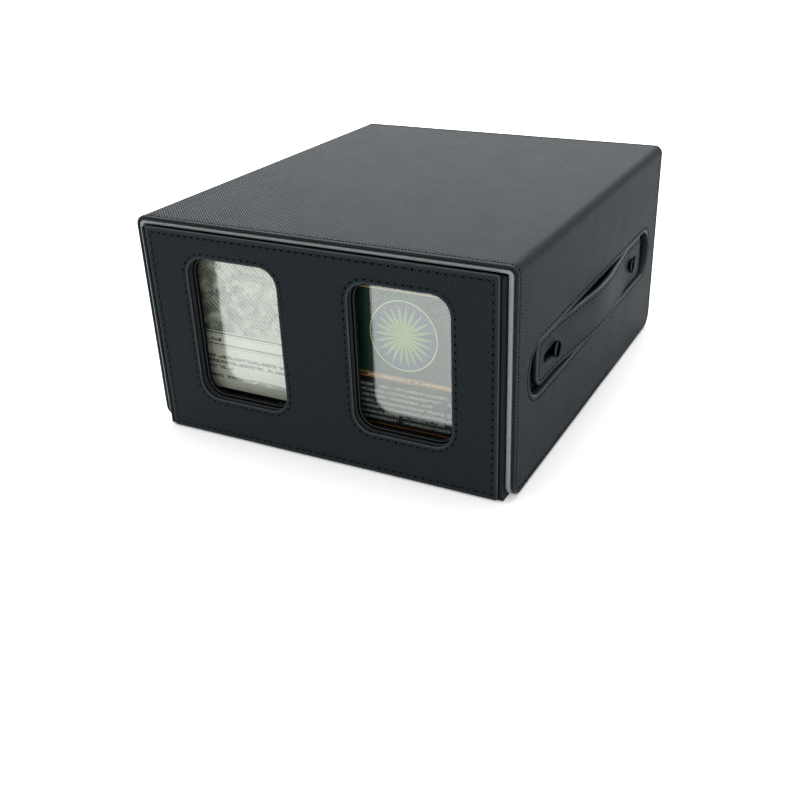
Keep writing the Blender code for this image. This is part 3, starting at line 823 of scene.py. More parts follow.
# in the handle's cut-outs the leather is turned right round the felt; that turn takes the rubbed edge's paler
# tints, which are partly a painted highlight
leatherCutout = faceToEdge + [
    (0.0, 2.0, 0.3, 2), (0.0, 3.3, 0.3, 2), (0.12, 3.7, 0.3, 2), (0.4, 3.85, 0.1, 2), (0.75, 3.75, 0.0, 2),
    (0.9, 3.4, 0.0, 2), (0.9, 1.9, 0.0, 2), (1.1, 1.65, 0.0, 2), (1.6, 1.6, 0.0, 2),
]
feltStart, feltEnd = wrap["liningStart"], wrap["liningEnd"]
feltEdge = [
    (2.0, feltStart, 0.0, 0), (0.35, feltStart, 0.0, 0), (0.08, feltStart + 0.2, 0.0, 0),
    (0.0, feltStart + 0.6, 0.0, 0), (0.0, feltEnd - 0.6, 0.0, 0), (0.08, feltEnd - 0.2, 0.0, 0),
    (0.35, feltEnd, 0.0, 0), (2.0, feltEnd, 0.0, 0),
]

leatherSlab = flatSlab(wrapLoops(leatherEdge, leatherCutout, 0.0), 12)
wrapDivided(leatherSlab)
liningSlab = flatSlab(wrapLoops(feltEdge, feltEdge, wrap["liningCutoutMargin"]), 12)
wrapDivided(liningSlab)

# the fold of each side, from the body that turns to the one that it turns on: in this order, a half turn of
# the fold passes over the outside, as the lid and the flap do
topFold, sideFold = foldX - wrap["foldSpread"], foldZ - wrap["foldSpread"]
leftFold = {"bodies": ("lid", "box"), "start": (-topFold, 0, caseTop), "end": (-outside, 0, sideFold)}
rightFold = {"bodies": ("flap", "lid"), "start": (outside, 0, sideFold), "end": (topFold, 0, caseTop)}
# the felt of the right fold turns just below the inner corner, so that it clears the case's rim
innerCorner = caseTop - wrap["liningEnd"] + wrap["feltRise"]
feltFold = {
    "bodies": ("flap", "lid"), "start": (foldX, 0, innerCorner - wrap["feltTurn"]),
    "end": (foldX, 0, innerCorner),
}


def bend(item):
    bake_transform(item)


split = wrap["seamAcrossTop"]
coverCloths = (grainCloth, shadedTurnedCloth, litRubbedCloth)
coverPieces = (
    ("left_cover_leather", leatherSlab, (None, split), leftFold, coverCloths, "black_leather",
     ("left_flap_leather",)),
    ("right_cover_leather", leatherSlab, (split, None), rightFold, coverCloths, "black_leather",
     ("top_leather", "right_flap_leather")),
    ("left_cover_felt", liningSlab, (None, split), leftFold, (feltCloth,), "grey_felt",
     ("left_flap_lining",)),
    ("right_cover_felt", liningSlab, (split, None), feltFold, (feltCloth,), "grey_felt",
     ("top_lining", "right_flap_lining")),
)
for name, slab, (low, high), fold, materials, slotName, nodes in coverPieces:
    waves = coverWaves if slab is leatherSlab else None
    place = onWrap if slab is leatherSlab else onWrapFelt
    item = laidPiece(name, lengthOf(slab, low, high), place, materials, waves)
    bend(item)
    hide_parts(*nodes)
leatherSlab.free()
liningSlab.free()

coverSeams = [
    (shape, seam, dip - stitch["aboveGroove"], 1) for shape, _ in wrapLoops(leatherEdge, leatherCutout, 0.0)
]
for name, keep, fold in (
    ("left_cover_stitching", lambda across, along: across < split, leftFold),
    ("right_cover_stitching", lambda across, along: across >= split, rightFold),
):
    item = stitching(name, coverSeams, onWrap, keep)
    bend(item)
print("made the cover: leather, felt and stitching")


# The front fascia with its two windows, and the plain rear panel
fascia = {
    "cornerRadius": 1.5,
    "windowWidth": 48.4,
    "windowHeight": 70.6,
    "windowRadius": 9.0,
    "windowAcross": 42.225,
    "windowHigh": 56.0,
    "seamInset": 2.7,
    "windowSeam": 2.2,
    "seamDepth": 0.12,
    "waves": 0.1,
    "meshHalf": (84.0, 48.0),
    "meshStep": 9.0,
}
frontLow, frontHigh = nodeBox("front_fascia")
_, rearHigh = nodeBox("rear_panel")


def onFront(across, up, depth):
    return Vector((across, frontLow.y + depth, up))


def onRear(across, up, depth):
    return Vector((-across, rearHigh.y - depth, up))


def panelProfile(seamInset):
    dip = fascia["seamDepth"]
    return [
        (seamInset + 2.6, 0.0, 0.0, 0),
        (seamInset + 0.8, 0.0, 0.0, 0),
        (seamInset + 0.4, 0.7 * dip, 0.0, 0),
        (seamInset, dip, 0.0, 0),
        (seamInset - 0.4, 0.7 * dip, 0.0, 0),
        (seamInset - 0.8, 0.0, 0.1, 0),
        (0.8, 0.0, 0.3, 0),
        (0.42, 0.06, 0.8, 0),
        (0.15, 0.24, 0.8, 1),
        (0.0, 0.5, 0.0, 1),
        (0.0, 1.3, 0.0, 1),
        (0.2, 1.5, 0.0, 1),
        (1.2, 1.5, 0.0, 1),
    ]


panelShape = {
    "centre": (0, (frontLow.z + frontHigh.z) / 2), "width": frontHigh.x - frontLow.x,
    "height": frontHigh.z - frontLow.z, "radius": fascia["cornerRadius"],
}
windowShapes = [{
    "centre": (side * fascia["windowAcross"], fascia["windowHigh"]), "width": fascia["windowWidth"],
    "height": fascia["windowHeight"], "radius": fascia["windowRadius"], "hole": True,
} for side in (-1, 1)]


def panelDivided(slab):
    for axis, half in enumerate(fascia["meshHalf"]):
        middle = panelShape["centre"][axis]
        divide(slab, axis, evenly(middle - half, middle + half, fascia["meshStep"]))


for name, place, holes, node in (
    ("front_panel_leather", onFront, windowShapes, "front_fascia"),
    ("rear_panel_leather", onRear, [], "rear_panel"),
):
    slab = flatSlab(
        [(panelShape, panelProfile(fascia["seamInset"]))]
        + [(shape, panelProfile(fascia["windowSeam"])) for shape in holes], 10
    )
    panelDivided(slab)
    item = laidPiece(name, slab, place, (grainCloth, panelEdge), lambda across: fascia["waves"])
    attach(item, "box")
    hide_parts(node)
    threadDepth = fascia["seamDepth"] - stitch["aboveGroove"]
    seams = [(panelShape, fascia["seamInset"], threadDepth, 1)]
    seams += [(shape, fascia["windowSeam"], threadDepth, 1) for shape in holes]
    item = stitching(name.replace("leather", "stitching"), seams, place)
    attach(item, "box")
print("made the front and rear panels")


# Frames behind the windows: a rounded lip just inside the fascia's opening, and a wide rebate behind the lip
pocket = {
    "lip": 0.7, "lipTurn": 0.7, "lipThickness": 2.2, "rebate": 4.0, "cornerRadius": 0.4, "bevel": 0.2,
    "turnSteps": 5, "paintedHighlightSteps": (2, 3),
}
for number, side in enumerate(sides):
    node = f"{side}_pocket_frame"
    low, high = nodeBox(node)
    thick = high.y - low.y
    outline = {
        "centre": ((low.x + high.x) / 2, (low.z + high.z) / 2), "width": high.x - low.x,
        "height": high.z - low.z, "radius": pocket["cornerRadius"],
    }
    opening = dict(windowShapes[number])
    opening["width"] -= 2 * pocket["lip"]
    opening["height"] -= 2 * pocket["lip"]
    opening["radius"] -= pocket["lip"]
    turn, lipThick, wide = pocket["lipTurn"], pocket["lipThickness"], pocket["lip"] + pocket["rebate"]
    bevel, steps = pocket["bevel"], pocket["turnSteps"]
    outer = [(1.0, 0.0, 0.0, 0), (bevel, 0.0, 0.0, 0), (0.0, bevel, 0.0, 0), (0.0, thick - bevel, 0.0, 0),
             (bevel, thick, 0.0, 0), (1.0, thick, 0.0, 0)]
    inner = [(turn + 1.5, 0.0, 0.0, 0), (turn, 0.0, 0.0, 0)]
    for step in range(1, steps + 1):
        angle = math.radians(90 * step / steps)
        # the middle of the lip's rounded turn takes the frame's painted highlight
        wornAndLit = 1.0 if step in pocket["paintedHighlightSteps"] else 0.0
        inner.append((turn - turn * math.sin(angle), turn - turn * math.cos(angle), wornAndLit, 0))
    inner += [(0.0, lipThick - bevel, 0.0, 0), (bevel, lipThick, 0.0, 0), (wide - bevel, lipThick, 0.0, 0),
              (wide, lipThick + bevel, 0.0, 0), (wide, thick, 0.0, 0), (wide + 1.0, thick, 0.0, 0)]
    item = laidPiece(
        f"{side}_window_frame", flatSlab([(outline, outer), (opening, inner)], 10),
        lambda across, up, depth: Vector((across, low.y + depth, up)), (frameAbs,),
    )
    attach(item, "box")
    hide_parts(node)
print("made the window frames")


# Display cards with round corners, each printed with a generic design, ruled bands and rows of bars. Bands
# and rows are heights above the middle of the card, and a row has where it starts and ends
card = {
    "cornerRadius": 3.0,
    "edgeRound": (0.06, 0.08),
    "roughness": 0.4,
    # size of the gaps in a row, and where in their noise a bar starts to break and is whole
    "gaps": ((0.8, 0.38, 0.5), (3.2, 0.36, 0.42)),
}
# each kind of row has its ink, the height of its bars, and where they lie
paleDesign = {
    "paper": ("#cac7b6", "#dbd8ca"),
    "paperSize": 25.0,
    "ink": "#4c4d46",
    "picture": (-29, 29, 1.0, 42.0),
    "massSize": 11.76,
    "leftward": (-30, 10, -0.13, 0.04),  # from where to where, and the shade that is added there
    "outlines": (11.0, 0.07),  # steps of shade, and the line's share of a step
    "lineTone": 0.45,
    "cutPitch": 1.3,
    "cutTone": 0.16,
    "shades": (0.38, 0.68, 0.12),  # where in the shade the ink is full and where it ends, and its full tone
    "bands": ((-0.3, 0.4, "#4a4a42"), (-1.3, -1.0, "#8b8a7c"), (-6.2, -5.6, "#4a4a42"),
              (-7.2, -6.9, "#8b8a7c"), (-45.0, -29.3, "#0d0e0e")),
    "rows": (
        ("#55534a", 1.7, ((-3.5, -29, -17), (-12.5, -28, 21), (-15.2, -28, 24), (-18.1, -28, -12),
                          (-23.0, -26, 19))),
        ("#8f9188", 0.8, ((-31.5, -27, -17), (-31.5, 10, 22))),
    ),
}
greenDesign = {
    "ground": ("#041510", "#12382b"),
    "sky": ("#2d2e4c", "#4b4e70"),
    "leaf": ("#5f7f30", "#b4c670"),
    "cloudSize": 9.09,
    "centre": (-5.1, 15.1),
    "ring": 16.3,
    "ringWidth": 0.5,
    "leaves": 22,
    "leafRings": ((14.5, 6.5, 0.8), (9.5, 3.5, 1.0)),  # reach of the tips, of the notches, and brightness
    "veinTone": 0.4,
    "bands": ((-45.0, -4.8, "#0b0d0e"), (-7.3, -6.9, "#b98a52"), (-6.9, -5.2, "#4d3a24"),
              (-5.2, -4.8, "#b98a52"), (-30.6, -30.0, "#9a6a34"), (35.3, 35.9, "#c79a72")),
    "rows": (
        ("#8d9189", 1.5, ((-11.2, -29, 16), (-13.9, -29, 19), (-16.6, -29, 8), (-19.4, -29, 18),
                          (-22.1, -29, 20), (-24.8, -29, 14), (-27.5, -27, 17))),
        ("#d8b78a", 1.0, ((-6.05, -24, 18),)),
    ),
}


# 1 where a value lies between low and high, in millimetres of the card
def between(tree, value, low, high):
    above = addNode(tree, "ShaderNodeMath", {0: value, 1: low * mm}, operation="GREATER_THAN")
    below = addNode(tree, "ShaderNodeMath", {0: value, 1: high * mm}, operation="LESS_THAN")
    return addNode(tree, "ShaderNodeMath", {
        0: above.outputs[0], 1: below.outputs[0],
    }, operation="MULTIPLY").outputs[0]


# Coated card stock, offset printed and slightly glossy: a drawing, ruled bands across the whole card, and
# rows of short bars of uneven length
def printedCard(name, design, draw):
    material, tree = newMaterial(name)
    flat = addNode(tree, "ShaderNodeTexCoord").outputs["UV"]
    place = addNode(tree, "ShaderNodeSeparateXYZ", {0: flat})
    across, up = place.outputs[0], place.outputs[1]
    printed = draw(tree, flat, across, up)
    for low, high, tint in design["bands"]:
        printed = addNode(tree, "ShaderNodeMix", {
            0: between(tree, up, low, high), 6: printed, 7: linear(tint),
        }, data_type="RGBA").outputs[2]
    broken = []
    for size, low, high in card["gaps"]:
        clumps = addNode(tree, "ShaderNodeTexNoise", {
            "Vector": flat, "Scale": 1 / (size * mm), "Detail": 1.0,
        })
        broken.append(addNode(tree, "ShaderNodeMapRange", {
            "Value": clumps.outputs["Fac"], "From Min": low, "From Max": high,
        }).outputs[0])
    gaps = addNode(tree, "ShaderNodeMath", {0: broken[0], 1: broken[1]}, operation="MULTIPLY")
    for tint, height, rows in design["rows"]:
        for row, start, end in rows:
            bar = addNode(tree, "ShaderNodeMath", {
                0: between(tree, up, row - height / 2, row + height / 2),
                1: between(tree, across, start, end),
            }, operation="MULTIPLY")
            inked = addNode(tree, "ShaderNodeMath", {
                0: bar.outputs[0], 1: gaps.outputs[0],
            }, operation="MULTIPLY")
            printed = addNode(tree, "ShaderNodeMix", {
                0: inked.outputs[0], 6: printed, 7: linear(tint),
            }, data_type="RGBA").outputs[2]
    shader = addNode(tree, "ShaderNodeBsdfPrincipled", {
        "Base Color": printed, "Roughness": card["roughness"], "IOR": 1.5,
    })
    addNode(tree, "ShaderNodeOutputMaterial", {0: shader.outputs[0]})
    return material


# Cream, with a line engraving of clouds over hills in grey
def paleDrawing(tree, flat, across, up):
    darker, paler = paleDesign["paper"]
    _, paper = mottled(tree, darker, paler, {"Vector": flat, "Scale": 1 / (paleDesign["paperSize"] * mm)})
    # broad masses of shade, darker to the left, with outlines where the shade changes
    masses = addNode(tree, "ShaderNodeTexNoise", {
        "Vector": flat, "Scale": 1 / (paleDesign["massSize"] * mm), "Detail": 3.0, "Roughness": 0.55,
        "Distortion": 1.8,
    })
    west, east, westShade, eastShade = paleDesign["leftward"]
    leftward = addNode(tree, "ShaderNodeMapRange", {
        "Value": across, "From Min": west * mm, "From Max": east * mm,
        "To Min": westShade, "To Max": eastShade,
    })
    shade = addNode(tree, "ShaderNodeMath", {
        0: masses.outputs["Fac"], 1: leftward.outputs[0],
    }, operation="ADD")
    steps, line = paleDesign["outlines"]
    level = addNode(tree, "ShaderNodeMath", {0: masses.outputs["Fac"], 1: steps}, operation="MULTIPLY")
    fraction = addNode(tree, "ShaderNodeMath", {0: level.outputs[0], 1: 0.5}, operation="PINGPONG")
    outline = addNode(tree, "ShaderNodeMath", {0: fraction.outputs[0], 1: line}, operation="LESS_THAN")
    # the graver's lines, drawn coarser than a graver cuts them so that they show
    cuts = addNode(tree, "ShaderNodeTexWave", {
        "Vector": flat, "Scale": 2 * math.pi / (20 * paleDesign["cutPitch"] * mm), "Distortion": 4.0,
        "Detail": 2.0, "Detail Scale": 0.35,
    }, wave_type="BANDS", bands_direction="DIAGONAL")
    fineCuts = addNode(tree, "ShaderNodeMath", {
        0: cuts.outputs["Fac"], 1: paleDesign["cutTone"],
    }, operation="MULTIPLY")
    depthOfCut = addNode(tree, "ShaderNodeMath", {
        0: shade.outputs[0], 1: fineCuts.outputs[0],
    }, operation="ADD")
    inkFull, inkEnd, fullTone = paleDesign["shades"]
    tone = addNode(tree, "ShaderNodeMapRange", {
        "Value": depthOfCut.outputs[0], "From Min": inkFull, "From Max": inkEnd, "To Min": fullTone,
        "To Max": 1.0,
    })
    lined = addNode(tree, "ShaderNodeMapRange", {
        "Value": outline.outputs[0], "To Min": 1.0, "To Max": paleDesign["lineTone"],
    })
    drawn = addNode(tree, "ShaderNodeMath", {0: tone.outputs[0], 1: lined.outputs[0]}, operation="MULTIPLY")
    drawing = addNode(tree, "ShaderNodeMix", {
        0: drawn.outputs[0], 6: linear(paleDesign["ink"]), 7: linear(darker),
    }, data_type="RGBA")
    west, east, south, north = paleDesign["picture"]
    inPicture = addNode(tree, "ShaderNodeMath", {
        0: between(tree, across, west, east), 1: between(tree, up, south, north),
    }, operation="MULTIPLY")
    return addNode(tree, "ShaderNodeMix", {
        0: inPicture.outputs[0], 6: paper, 7: drawing.outputs[2],
    }, data_type="RGBA").outputs[2]


# Dark green, with a rosette of leaves on a dusk ground inside a thin ring
def greenDrawing(tree, flat, *_):
    cloud = addNode(tree, "ShaderNodeTexNoise", {
        "Vector": flat, "Scale": 1 / (greenDesign["cloudSize"] * mm), "Detail": 5.0, "Roughness": 0.6,
        "Distortion": 0.8,
    })
    grounds = []
    for darker, paler in (greenDesign["ground"], greenDesign["sky"], greenDesign["leaf"]):
        grounds.append(addNode(tree, "ShaderNodeMix", {
            0: cloud.outputs["Fac"], 6: linear(darker), 7: linear(paler),
        }, data_type="RGBA").outputs[2])
    # distance and angle from the middle of the ring
    middleAcross, middleUp = greenDesign["centre"]
    offset = addNode(tree, "ShaderNodeVectorMath", {
        0: flat, 1: (middleAcross * mm, middleUp * mm, 0.0),
    }, operation="SUBTRACT")
    away = addNode(tree, "ShaderNodeVectorMath", {0: offset.outputs[0]}, operation="LENGTH").outputs["Value"]
    parts = addNode(tree, "ShaderNodeSeparateXYZ", {0: offset.outputs[0]})
    angle = addNode(tree, "ShaderNodeMath", {0: parts.outputs[1], 1: parts.outputs[0]}, operation="ARCTAN2")
    # each leaf narrows to a point: the rim of the rosette swings between two radii
    around = addNode(tree, "ShaderNodeMath", {
        0: angle.outputs[0], 1: greenDesign["leaves"] / (2 * math.pi),
    }, operation="MULTIPLY")
    fold = addNode(tree, "ShaderNodeMath", {0: around.outputs[0], 1: 0.5}, operation="PINGPONG")
    printed = addNode(tree, "ShaderNodeMix", {
        0: between(tree, away, -1.0, greenDesign["ring"]), 6: grounds[0], 7: grounds[1],
    }, data_type="RGBA").outputs[2]
    for reach, waist, shine in greenDesign["leafRings"]:
        rim = addNode(tree, "ShaderNodeMapRange", {
            "Value": fold.outputs[0], "To Min": reach * mm, "From Max": 0.5, "To Max": waist * mm,
        })
        inside = addNode(tree, "ShaderNodeMath", {0: away, 1: rim.outputs[0]}, operation="LESS_THAN")
        veined = addNode(tree, "ShaderNodeMapRange", {
            "Value": fold.outputs[0], "From Max": 0.5, "To Min": shine,
            "To Max": greenDesign["veinTone"] * shine,
        })
        leaf = addNode(tree, "ShaderNodeMath", {
            0: inside.outputs[0], 1: veined.outputs[0],
        }, operation="MULTIPLY")
        printed = addNode(tree, "ShaderNodeMix", {
            0: leaf.outputs[0], 6: printed, 7: grounds[2],
        }, data_type="RGBA").outputs[2]
    ring, halfLine = greenDesign["ring"], greenDesign["ringWidth"] / 2
    return addNode(tree, "ShaderNodeMix", {
        0: between(tree, away, ring - halfLine, ring + halfLine), 6: printed,
        7: linear(greenDesign["leaf"][1]),
    }, data_type="RGBA").outputs[2]


for side, printFinish, slotName in (
    ("left", printedCard("pale printed card", paleDesign, paleDrawing), "pale_card"),
    ("right", printedCard("green printed card", greenDesign, greenDrawing), "green_card"),
):
    node = f"{side}_display_card"
    low, high = nodeBox(node)
    middle, thick = (low + high) / 2, high.y - low.y
    shape = {
        "centre": (0, 0), "width": high.x - low.x, "height": high.z - low.z, "radius": card["cornerRadius"],
    }
    pressed, cut = card["edgeRound"]
    profile = [(0.5, 0.0, 0.0, 0), (pressed, 0.0, 0.0, 0), (0.0, cut, 0.0, 1), (0.0, thick - cut, 0.0, 1),
               (pressed, thick, 0.0, 1), (0.5, thick, 0.0, 1)]
    item = laidPiece(
        f"{side}_printed_card", flatSlab([(shape, profile)]),
        lambda across, up, depth: middle + Vector((across, depth - thick / 2, up)), (printFinish, stockEdge),
    )
    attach(item, "box")
    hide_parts(node)
print("made the display cards")


# A carrying strap on each side: leather on both faces, stitched round, with a slot over each stud
strap = {
    "endRadius": 6.0,
    "kneeAtTab": 5.0,
    "kneeAtArm": 8.0,
    "seamInset": 2.3,
    "seamDepth": 0.12,
    "slotWidth": 5.0,
    "slotStart": 57.4,
    "slotEnd": 73.8,
    "joinAt": 32.0,
    "armHinge": 8.5,
    "tabHinge": 55.3,
    "endBend": (61.5, 49.0),  # where the bend at each hinge starts and ends
    "gripBend": (17.5, 0.3),
    "meshStep": (2.0, 4.0),
}
beyond = 1000.0  # past either end of the strap
armHinge, tabHinge = strap["armHinge"], strap["tabHinge"]
tabLow, tabHigh = nodeBox("right_rear_strap_tab")
strapThick = tabHigh.x - tabLow.x
tabLine, middleLine = (tabLow.x + tabHigh.x) / 2, (strapLow.x + strapHigh.x) / 2
strapWide = strapHigh.z - strapLow.z
bulge = middleLine - tabLine


# A line that turns from flat to a slope of one over a soft knee
def softKnee(distance, knee):
    if distance <= -knee:
        return 0.0, 0.0
    if distance < knee:
        return (distance + knee) ** 2 / (4 * knee), (distance + knee) / (2 * knee)
    return distance, 1.0


def strapPlace(side):
    across = outwardOf[side]
    slope = bulge / (tabHinge - armHinge)

    def place(along, up, depth):
        reach = abs(along)
        first, firstSlope = softKnee(reach - armHinge, strap["kneeAtArm"])
        second, secondSlope = softKnee(reach - tabHinge, strap["kneeAtTab"])
        line = middleLine - slope * (first - second)
        fall = slope * (firstSlope - secondSlope) * math.copysign(1, along)
        normal = Vector((1.0, fall, 0.0)).normalized()
        spot = Vector((line, along, strapHeight + up)) + normal * (strapThick / 2 - depth)
        return Vector((across * spot.x, spot.y, spot.z))

    return place


strapEdge = [
    (strap["seamInset"] + 1.6, 0.0, 0.0, 0),
    (strap["seamInset"] + 0.7, 0.0, 0.0, 0),
    (strap["seamInset"], strap["seamDepth"], 0.0, 0),
    (strap["seamInset"] - 0.7, 0.0, 0.1, 0),
    (1.0, 0.0, 0.3, 0),
    (0.5, 0.1, 0.7, 0),
    (0.18, 0.4, 0.8, 1),
    (0.02, 0.85, 0.6, 1),
    (0.0, strapThick / 2, 0.4, 1),
]
strapEdge += [
    (inset, strapThick - depth, wearAndLight, slot) for inset, depth, wearAndLight, slot in reversed(strapEdge[:-1])
]
slotEdge = [(0.5, 0.0, 0.1, 0), (0.15, 0.05, 0.6, 0), (0.0, 0.35, 0.6, 1), (0.0, strapThick - 0.35, 0.4, 1),
            (0.15, strapThick - 0.05, 0.2, 1), (0.5, strapThick, 0.0, 0)]
strapShape = {
    "centre": (0, 0), "width": 2 * tabHigh.y, "height": strapWide, "radius": strap["endRadius"],
}
slotShapes = [{
    "centre": (end * (strap["slotStart"] + strap["slotEnd"]) / 2, 0),
    "width": strap["slotEnd"] - strap["slotStart"], "height": strap["slotWidth"],
    "radius": strap["slotWidth"] / 2, "hole": True,
} for end in (-1, 1)]
strapSlab = flatSlab([(strapShape, strapEdge)] + [(shape, slotEdge) for shape in slotShapes], 8)
for axis, (half, step) in enumerate(zip((tabHigh.y, strapWide / 2), strap["meshStep"])):
    divide(strapSlab, axis, evenly(-half + step, half - step, step))

threadDepth = strap["seamDepth"] - stitch["aboveGroove"]
strapSeams = [
    (strapShape, strap["seamInset"], threadDepth, 1),
    (strapShape, strap["seamInset"], strapThick - threadDepth, -1),
]
for side in sides:
    place = strapPlace(side)
    outward = outwardOf[side]
    for end, along in zip(ends, (-1, 1)):
        tabBody, armBody, handleBody = f"{side}_{end}_tab", f"{side}_{end}_arm", f"{side}_handle"
        runs = (
            ("end", sorted((along * strap["joinAt"], along * beyond)), tabBody, armBody, strap["endBend"],
             (f"{side}_{end}_strap_tab", f"{side}_{end}_strap_arm")),
            ("grip", sorted((0.0, along * strap["joinAt"])), armBody, handleBody, strap["gripBend"],
             (f"{side}_{end}_strap_arm", f"{side}_strap_middle")),
        )
        for part, (low, high), first, second, (begin, stop), nodes in runs:
            bounds = [None if abs(value) == beyond else value for value in (low, high)]
            item = laidPiece(
                f"{side}_{end}_strap_{part}", lengthOf(strapSlab, *bounds), place,
                (grainCloth, litRubbedCloth),
            )
            stitches = stitching(
                f"{side}_{end}_{part}_stitching", strapSeams, place,
                lambda spot, up, low=low, high=high: low <= spot < high,
            )
            for bent in (item, stitches):
                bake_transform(bent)
            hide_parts(*nodes)
strapSlab.free()
print("made the straps")


# Studs turned from steel and plated: a button head with a straight wall, on a plain shank
stud = {
    "turns": 48, "headHeight": 2.0, "crownRise": 0.35, "brow": 0.5, "burr": 0.15, "shank": 2.0, "steps": 5,
    "sharpFrom": 50,
}


# Radius and distance down from the tip
def studProfile(headRadius, length):
    flat, crown, brow = headRadius - stud["brow"], stud["crownRise"], stud["brow"]
    steps = stud["steps"]
    rows = [(flat * step / steps, crown * (step / steps) ** 2) for step in range(steps + 1)]
    for step in range(1, steps + 1):
        angle = math.radians(90 * step / steps)
        rows.append((flat + brow * math.sin(angle), crown + brow * (1 - math.cos(angle))))
    under, shank, burr = stud["headHeight"], stud["shank"], stud["burr"]
    rows += [(headRadius, under - burr), (headRadius - burr, under), (shank + burr, under),
             (shank, under + burr), (shank, length - burr), (shank - burr, length), (0.0, length)]
    return rows


for side in sides:
    for end in ends:
        node = f"{side}_{end}_handle_stud"
        low, high = nodeBox(node)
        middle = (low + high) / 2
        outward = outwardOf[side]
        root, tip = sorted((outward * low.x, outward * high.x))
        shape = bmesh.new()
        rings = []
        for radius, drop in studProfile((high.y - low.y) / 2, tip - root):
            ring = []
            for turn in range(stud["turns"] if radius else 1):
                angle = 2 * math.pi * turn / stud["turns"]
                ring.append(shape.verts.new(Vector((
                    outward * (tip - drop), middle.y + radius * math.cos(angle),
                    middle.z + radius * math.sin(angle),
                )) * mm))
            rings.append(ring)
        for above, below in zip(rings, rings[1:]):
            for turn in range(stud["turns"]):
                other = (turn + 1) % stud["turns"]
                corners = []
                for ring, place in ((above, turn), (above, other), (below, other), (below, turn)):
                    vert = ring[place % len(ring)]
                    if vert not in corners:
                        corners.append(vert)
                shape.faces.new(corners).smooth = True
        item = pieceFrom(f"{side}_{end}_stud", shape, (studPlating,))
        item.data.set_sharp_from_angle(angle=math.radians(stud["sharpFrom"]))
        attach(item, "box")
        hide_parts(node)
print("made the studs")


# CAD nodes whose shape stays, each with the material of the real part
skinCloth = {
    "left_side_skin": "YZ", "right_side_skin": "YZ", "underside_skin": "XY", "rim_binding": "XY",
}
nodeFinish = {
    boardPaper: ["centre_divider"] + [f"{place}_board" for place in ("floor", *ends, *sides)],
    feltCloth: [f"{side}_compartment_lining" for side in sides],
    frameAbs: [f"{side}_card_tray" for side in sides],
    paneSheet: [f"{side}_window_pane" for side in sides],
    studPlating: [f"{side}_{end}_stud_cap" for side in sides for end in ends],
    magnetPlating: [f"{place}_{end}_magnet" for place in ("wall", "flap") for end in ends],
}
for plane in ("YZ", "XY"):
    finish = leatherCloth("embossed PU leather, plane " + plane, plane)
    nodeFinish[finish] = [node for node, lies in skinCloth.items() if lies == plane]
for finish, nodes in nodeFinish.items():
    for node in nodes:
        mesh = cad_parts[node].data
        mesh.materials.clear()
        mesh.materials.append(finish)
print("finished the CAD nodes that stay")


# Studio: pale floor, white surround, soft lamps, and the photograph's camera, in metres. The rear lamp gives
# the top its sheen, and the sweep is a low lamp in front, which only the two window panes mirror
studio = {
    "floorColour": "#f4f4f4",
    "floorHalf": 4.0,
    "floorDrop": 0.0002,
    "floorLift": (0.3, 0.7),  # near the object, and from afar on, so that the far floor stays white
    "floorReach": (0.3, 1.6),
    "surround": 0.4,
    "overhead": {"at": (-0.1, 0.1, 1.2), "toward": (0, 0, 0.06), "size": (1.3, 1.1), "power": 12.0},
    "right": {"at": (1.1, -0.35, 0.75), "toward": (0.05, 0, 0.05), "size": (0.7, 0.7), "power": 4.0},
    "front": {"at": (0.05, -1.3, 0.45), "toward": (0, 0, 0.05), "size": (1.6, 1.0), "power": 4.5},
    "rear": {"at": (-0.42, 0.90, 0.80), "toward": (0, 0, 0.1), "size": (1.3, 1.0), "power": 19.0},
}
sweep = {"at": (-0.10, -0.45, 0.004), "toward": (-0.10, -0.45, 1.0), "size": (1.0, 0.62), "power": 1.6}
sweepTint = (0.9, 1.0, 0.9)


# 1 where a surface is looked at, straight or in metal or glass, and 0 where it only lights the case
def lookedAt(tree):
    rays = addNode(tree, "ShaderNodeLightPath")
    direct = addNode(tree, "ShaderNodeMath", {
        0: rays.outputs["Is Camera Ray"], 1: rays.outputs["Is Glossy Ray"],
    }, operation="MAXIMUM")
    return addNode(tree, "ShaderNodeMath", {
        0: direct.outputs[0], 1: rays.outputs["Is Transmission Ray"],
    }, operation="MAXIMUM").outputs[0]


half = studio["floorHalf"]
mesh = bpy.data.meshes.new("floor")
mesh.from_pydata([(-half, -half, 0), (half, -half, 0), (half, half, 0), (-half, half, 0)], [], [(0, 1, 2, 3)])
floor = toScene("floor", mesh)
floor.location.z = -studio["floorDrop"]
material, tree = newMaterial("painted studio floor")
ground = addNode(tree, "ShaderNodeTexCoord")
away = addNode(tree, "ShaderNodeVectorMath", {0: ground.outputs["Object"]}, operation="LENGTH")
(nearLift, farLift), (near, far) = studio["floorLift"], studio["floorReach"]
spread = addNode(tree, "ShaderNodeMapRange", {
    "Value": away.outputs["Value"], "From Min": near, "From Max": far, "To Min": nearLift, "To Max": farLift,
})
lift = addNode(tree, "ShaderNodeMath", {0: lookedAt(tree), 1: spread.outputs[0]}, operation="MULTIPLY")
paint = addNode(tree, "ShaderNodeBsdfDiffuse", {"Color": linear(studio["floorColour"])})
glow = addNode(tree, "ShaderNodeEmission", {"Color": (1, 1, 1, 1), "Strength": lift.outputs[0]})
both = addNode(tree, "ShaderNodeAddShader", {0: paint.outputs[0], 1: glow.outputs[0]})
addNode(tree, "ShaderNodeOutputMaterial", {0: both.outputs[0]})
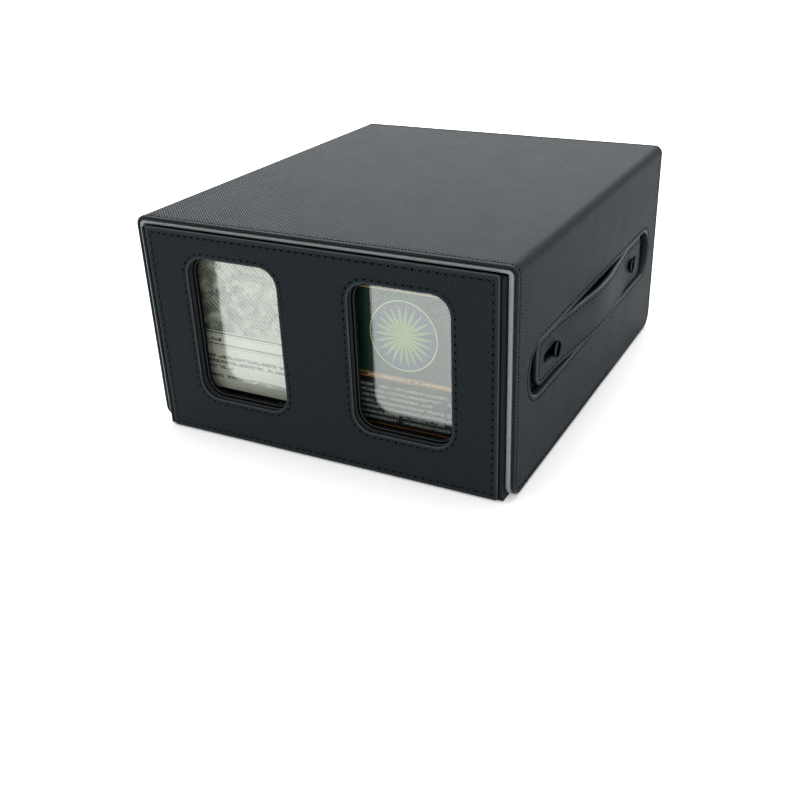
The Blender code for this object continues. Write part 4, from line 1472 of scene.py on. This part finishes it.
mesh.materials.append(material)

world = bpy.data.worlds.new("studio")
bpy.context.scene.world = world
world.use_nodes = True
tree = world.node_tree
tree.nodes.clear()
strength = addNode(tree, "ShaderNodeMapRange", {
    "Value": lookedAt(tree), "To Min": studio["surround"], "To Max": 1.0,
})
white = addNode(tree, "ShaderNodeBackground", {"Color": (1, 1, 1, 1), "Strength": strength.outputs[0]})
addNode(tree, "ShaderNodeOutputWorld", {0: white.outputs[0]})


def softLamp(name, at, toward, size, power):
    lamp = bpy.data.lights.new(name, "AREA")
    lamp.shape = "RECTANGLE"
    lamp.size, lamp.size_y = size
    lamp.energy = power
    item = toScene(name, lamp)
    item.location = at
    item.rotation_mode = "QUATERNION"
    item.rotation_quaternion = (Vector(toward) - Vector(at)).to_track_quat("-Z", "Y")
    item.visible_camera = False
    return item


for name in ("overhead", "right", "front", "rear"):
    softLamp(name, **studio[name])
mirrors = bpy.data.collections.new("window panes")
for side in sides:
    mirrors.objects.link(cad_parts[f"{side}_window_pane"])
sweepItem = softLamp("sweep", **sweep)
sweepItem.data.color = sweepTint
sweepItem.light_linking.receiver_collection = mirrors

# solved from the case's edges in the photograph
view = {
    "at": (0.22473, -0.44730, 0.23408),
    "forward": (-0.40713, 0.78683, -0.46384),
    "right": (0.89406, 0.44718, -0.02617),
    "sensor": 36.0,
    "lens": 44.41,
    "shift": (-0.0243, 0.0153),
    "clip": (0.01, 20.0),
}
camera = bpy.data.cameras.new("camera")
camera.sensor_width, camera.lens = view["sensor"], view["lens"]
camera.shift_x, camera.shift_y = view["shift"]
camera.clip_start, camera.clip_end = view["clip"]
forward, right = Vector(view["forward"]).normalized(), Vector(view["right"])
right = (right - forward * right.dot(forward)).normalized()
turned = Matrix((right, right.cross(forward), -forward)).transposed()
cameraItem = toScene("camera", camera)
cameraItem.matrix_world = Matrix.Translation(view["at"]) @ turned.to_4x4()
bpy.context.scene.camera = cameraItem
bpy.context.scene.view_settings.view_transform = "Standard"
print("lit the studio and set the camera")
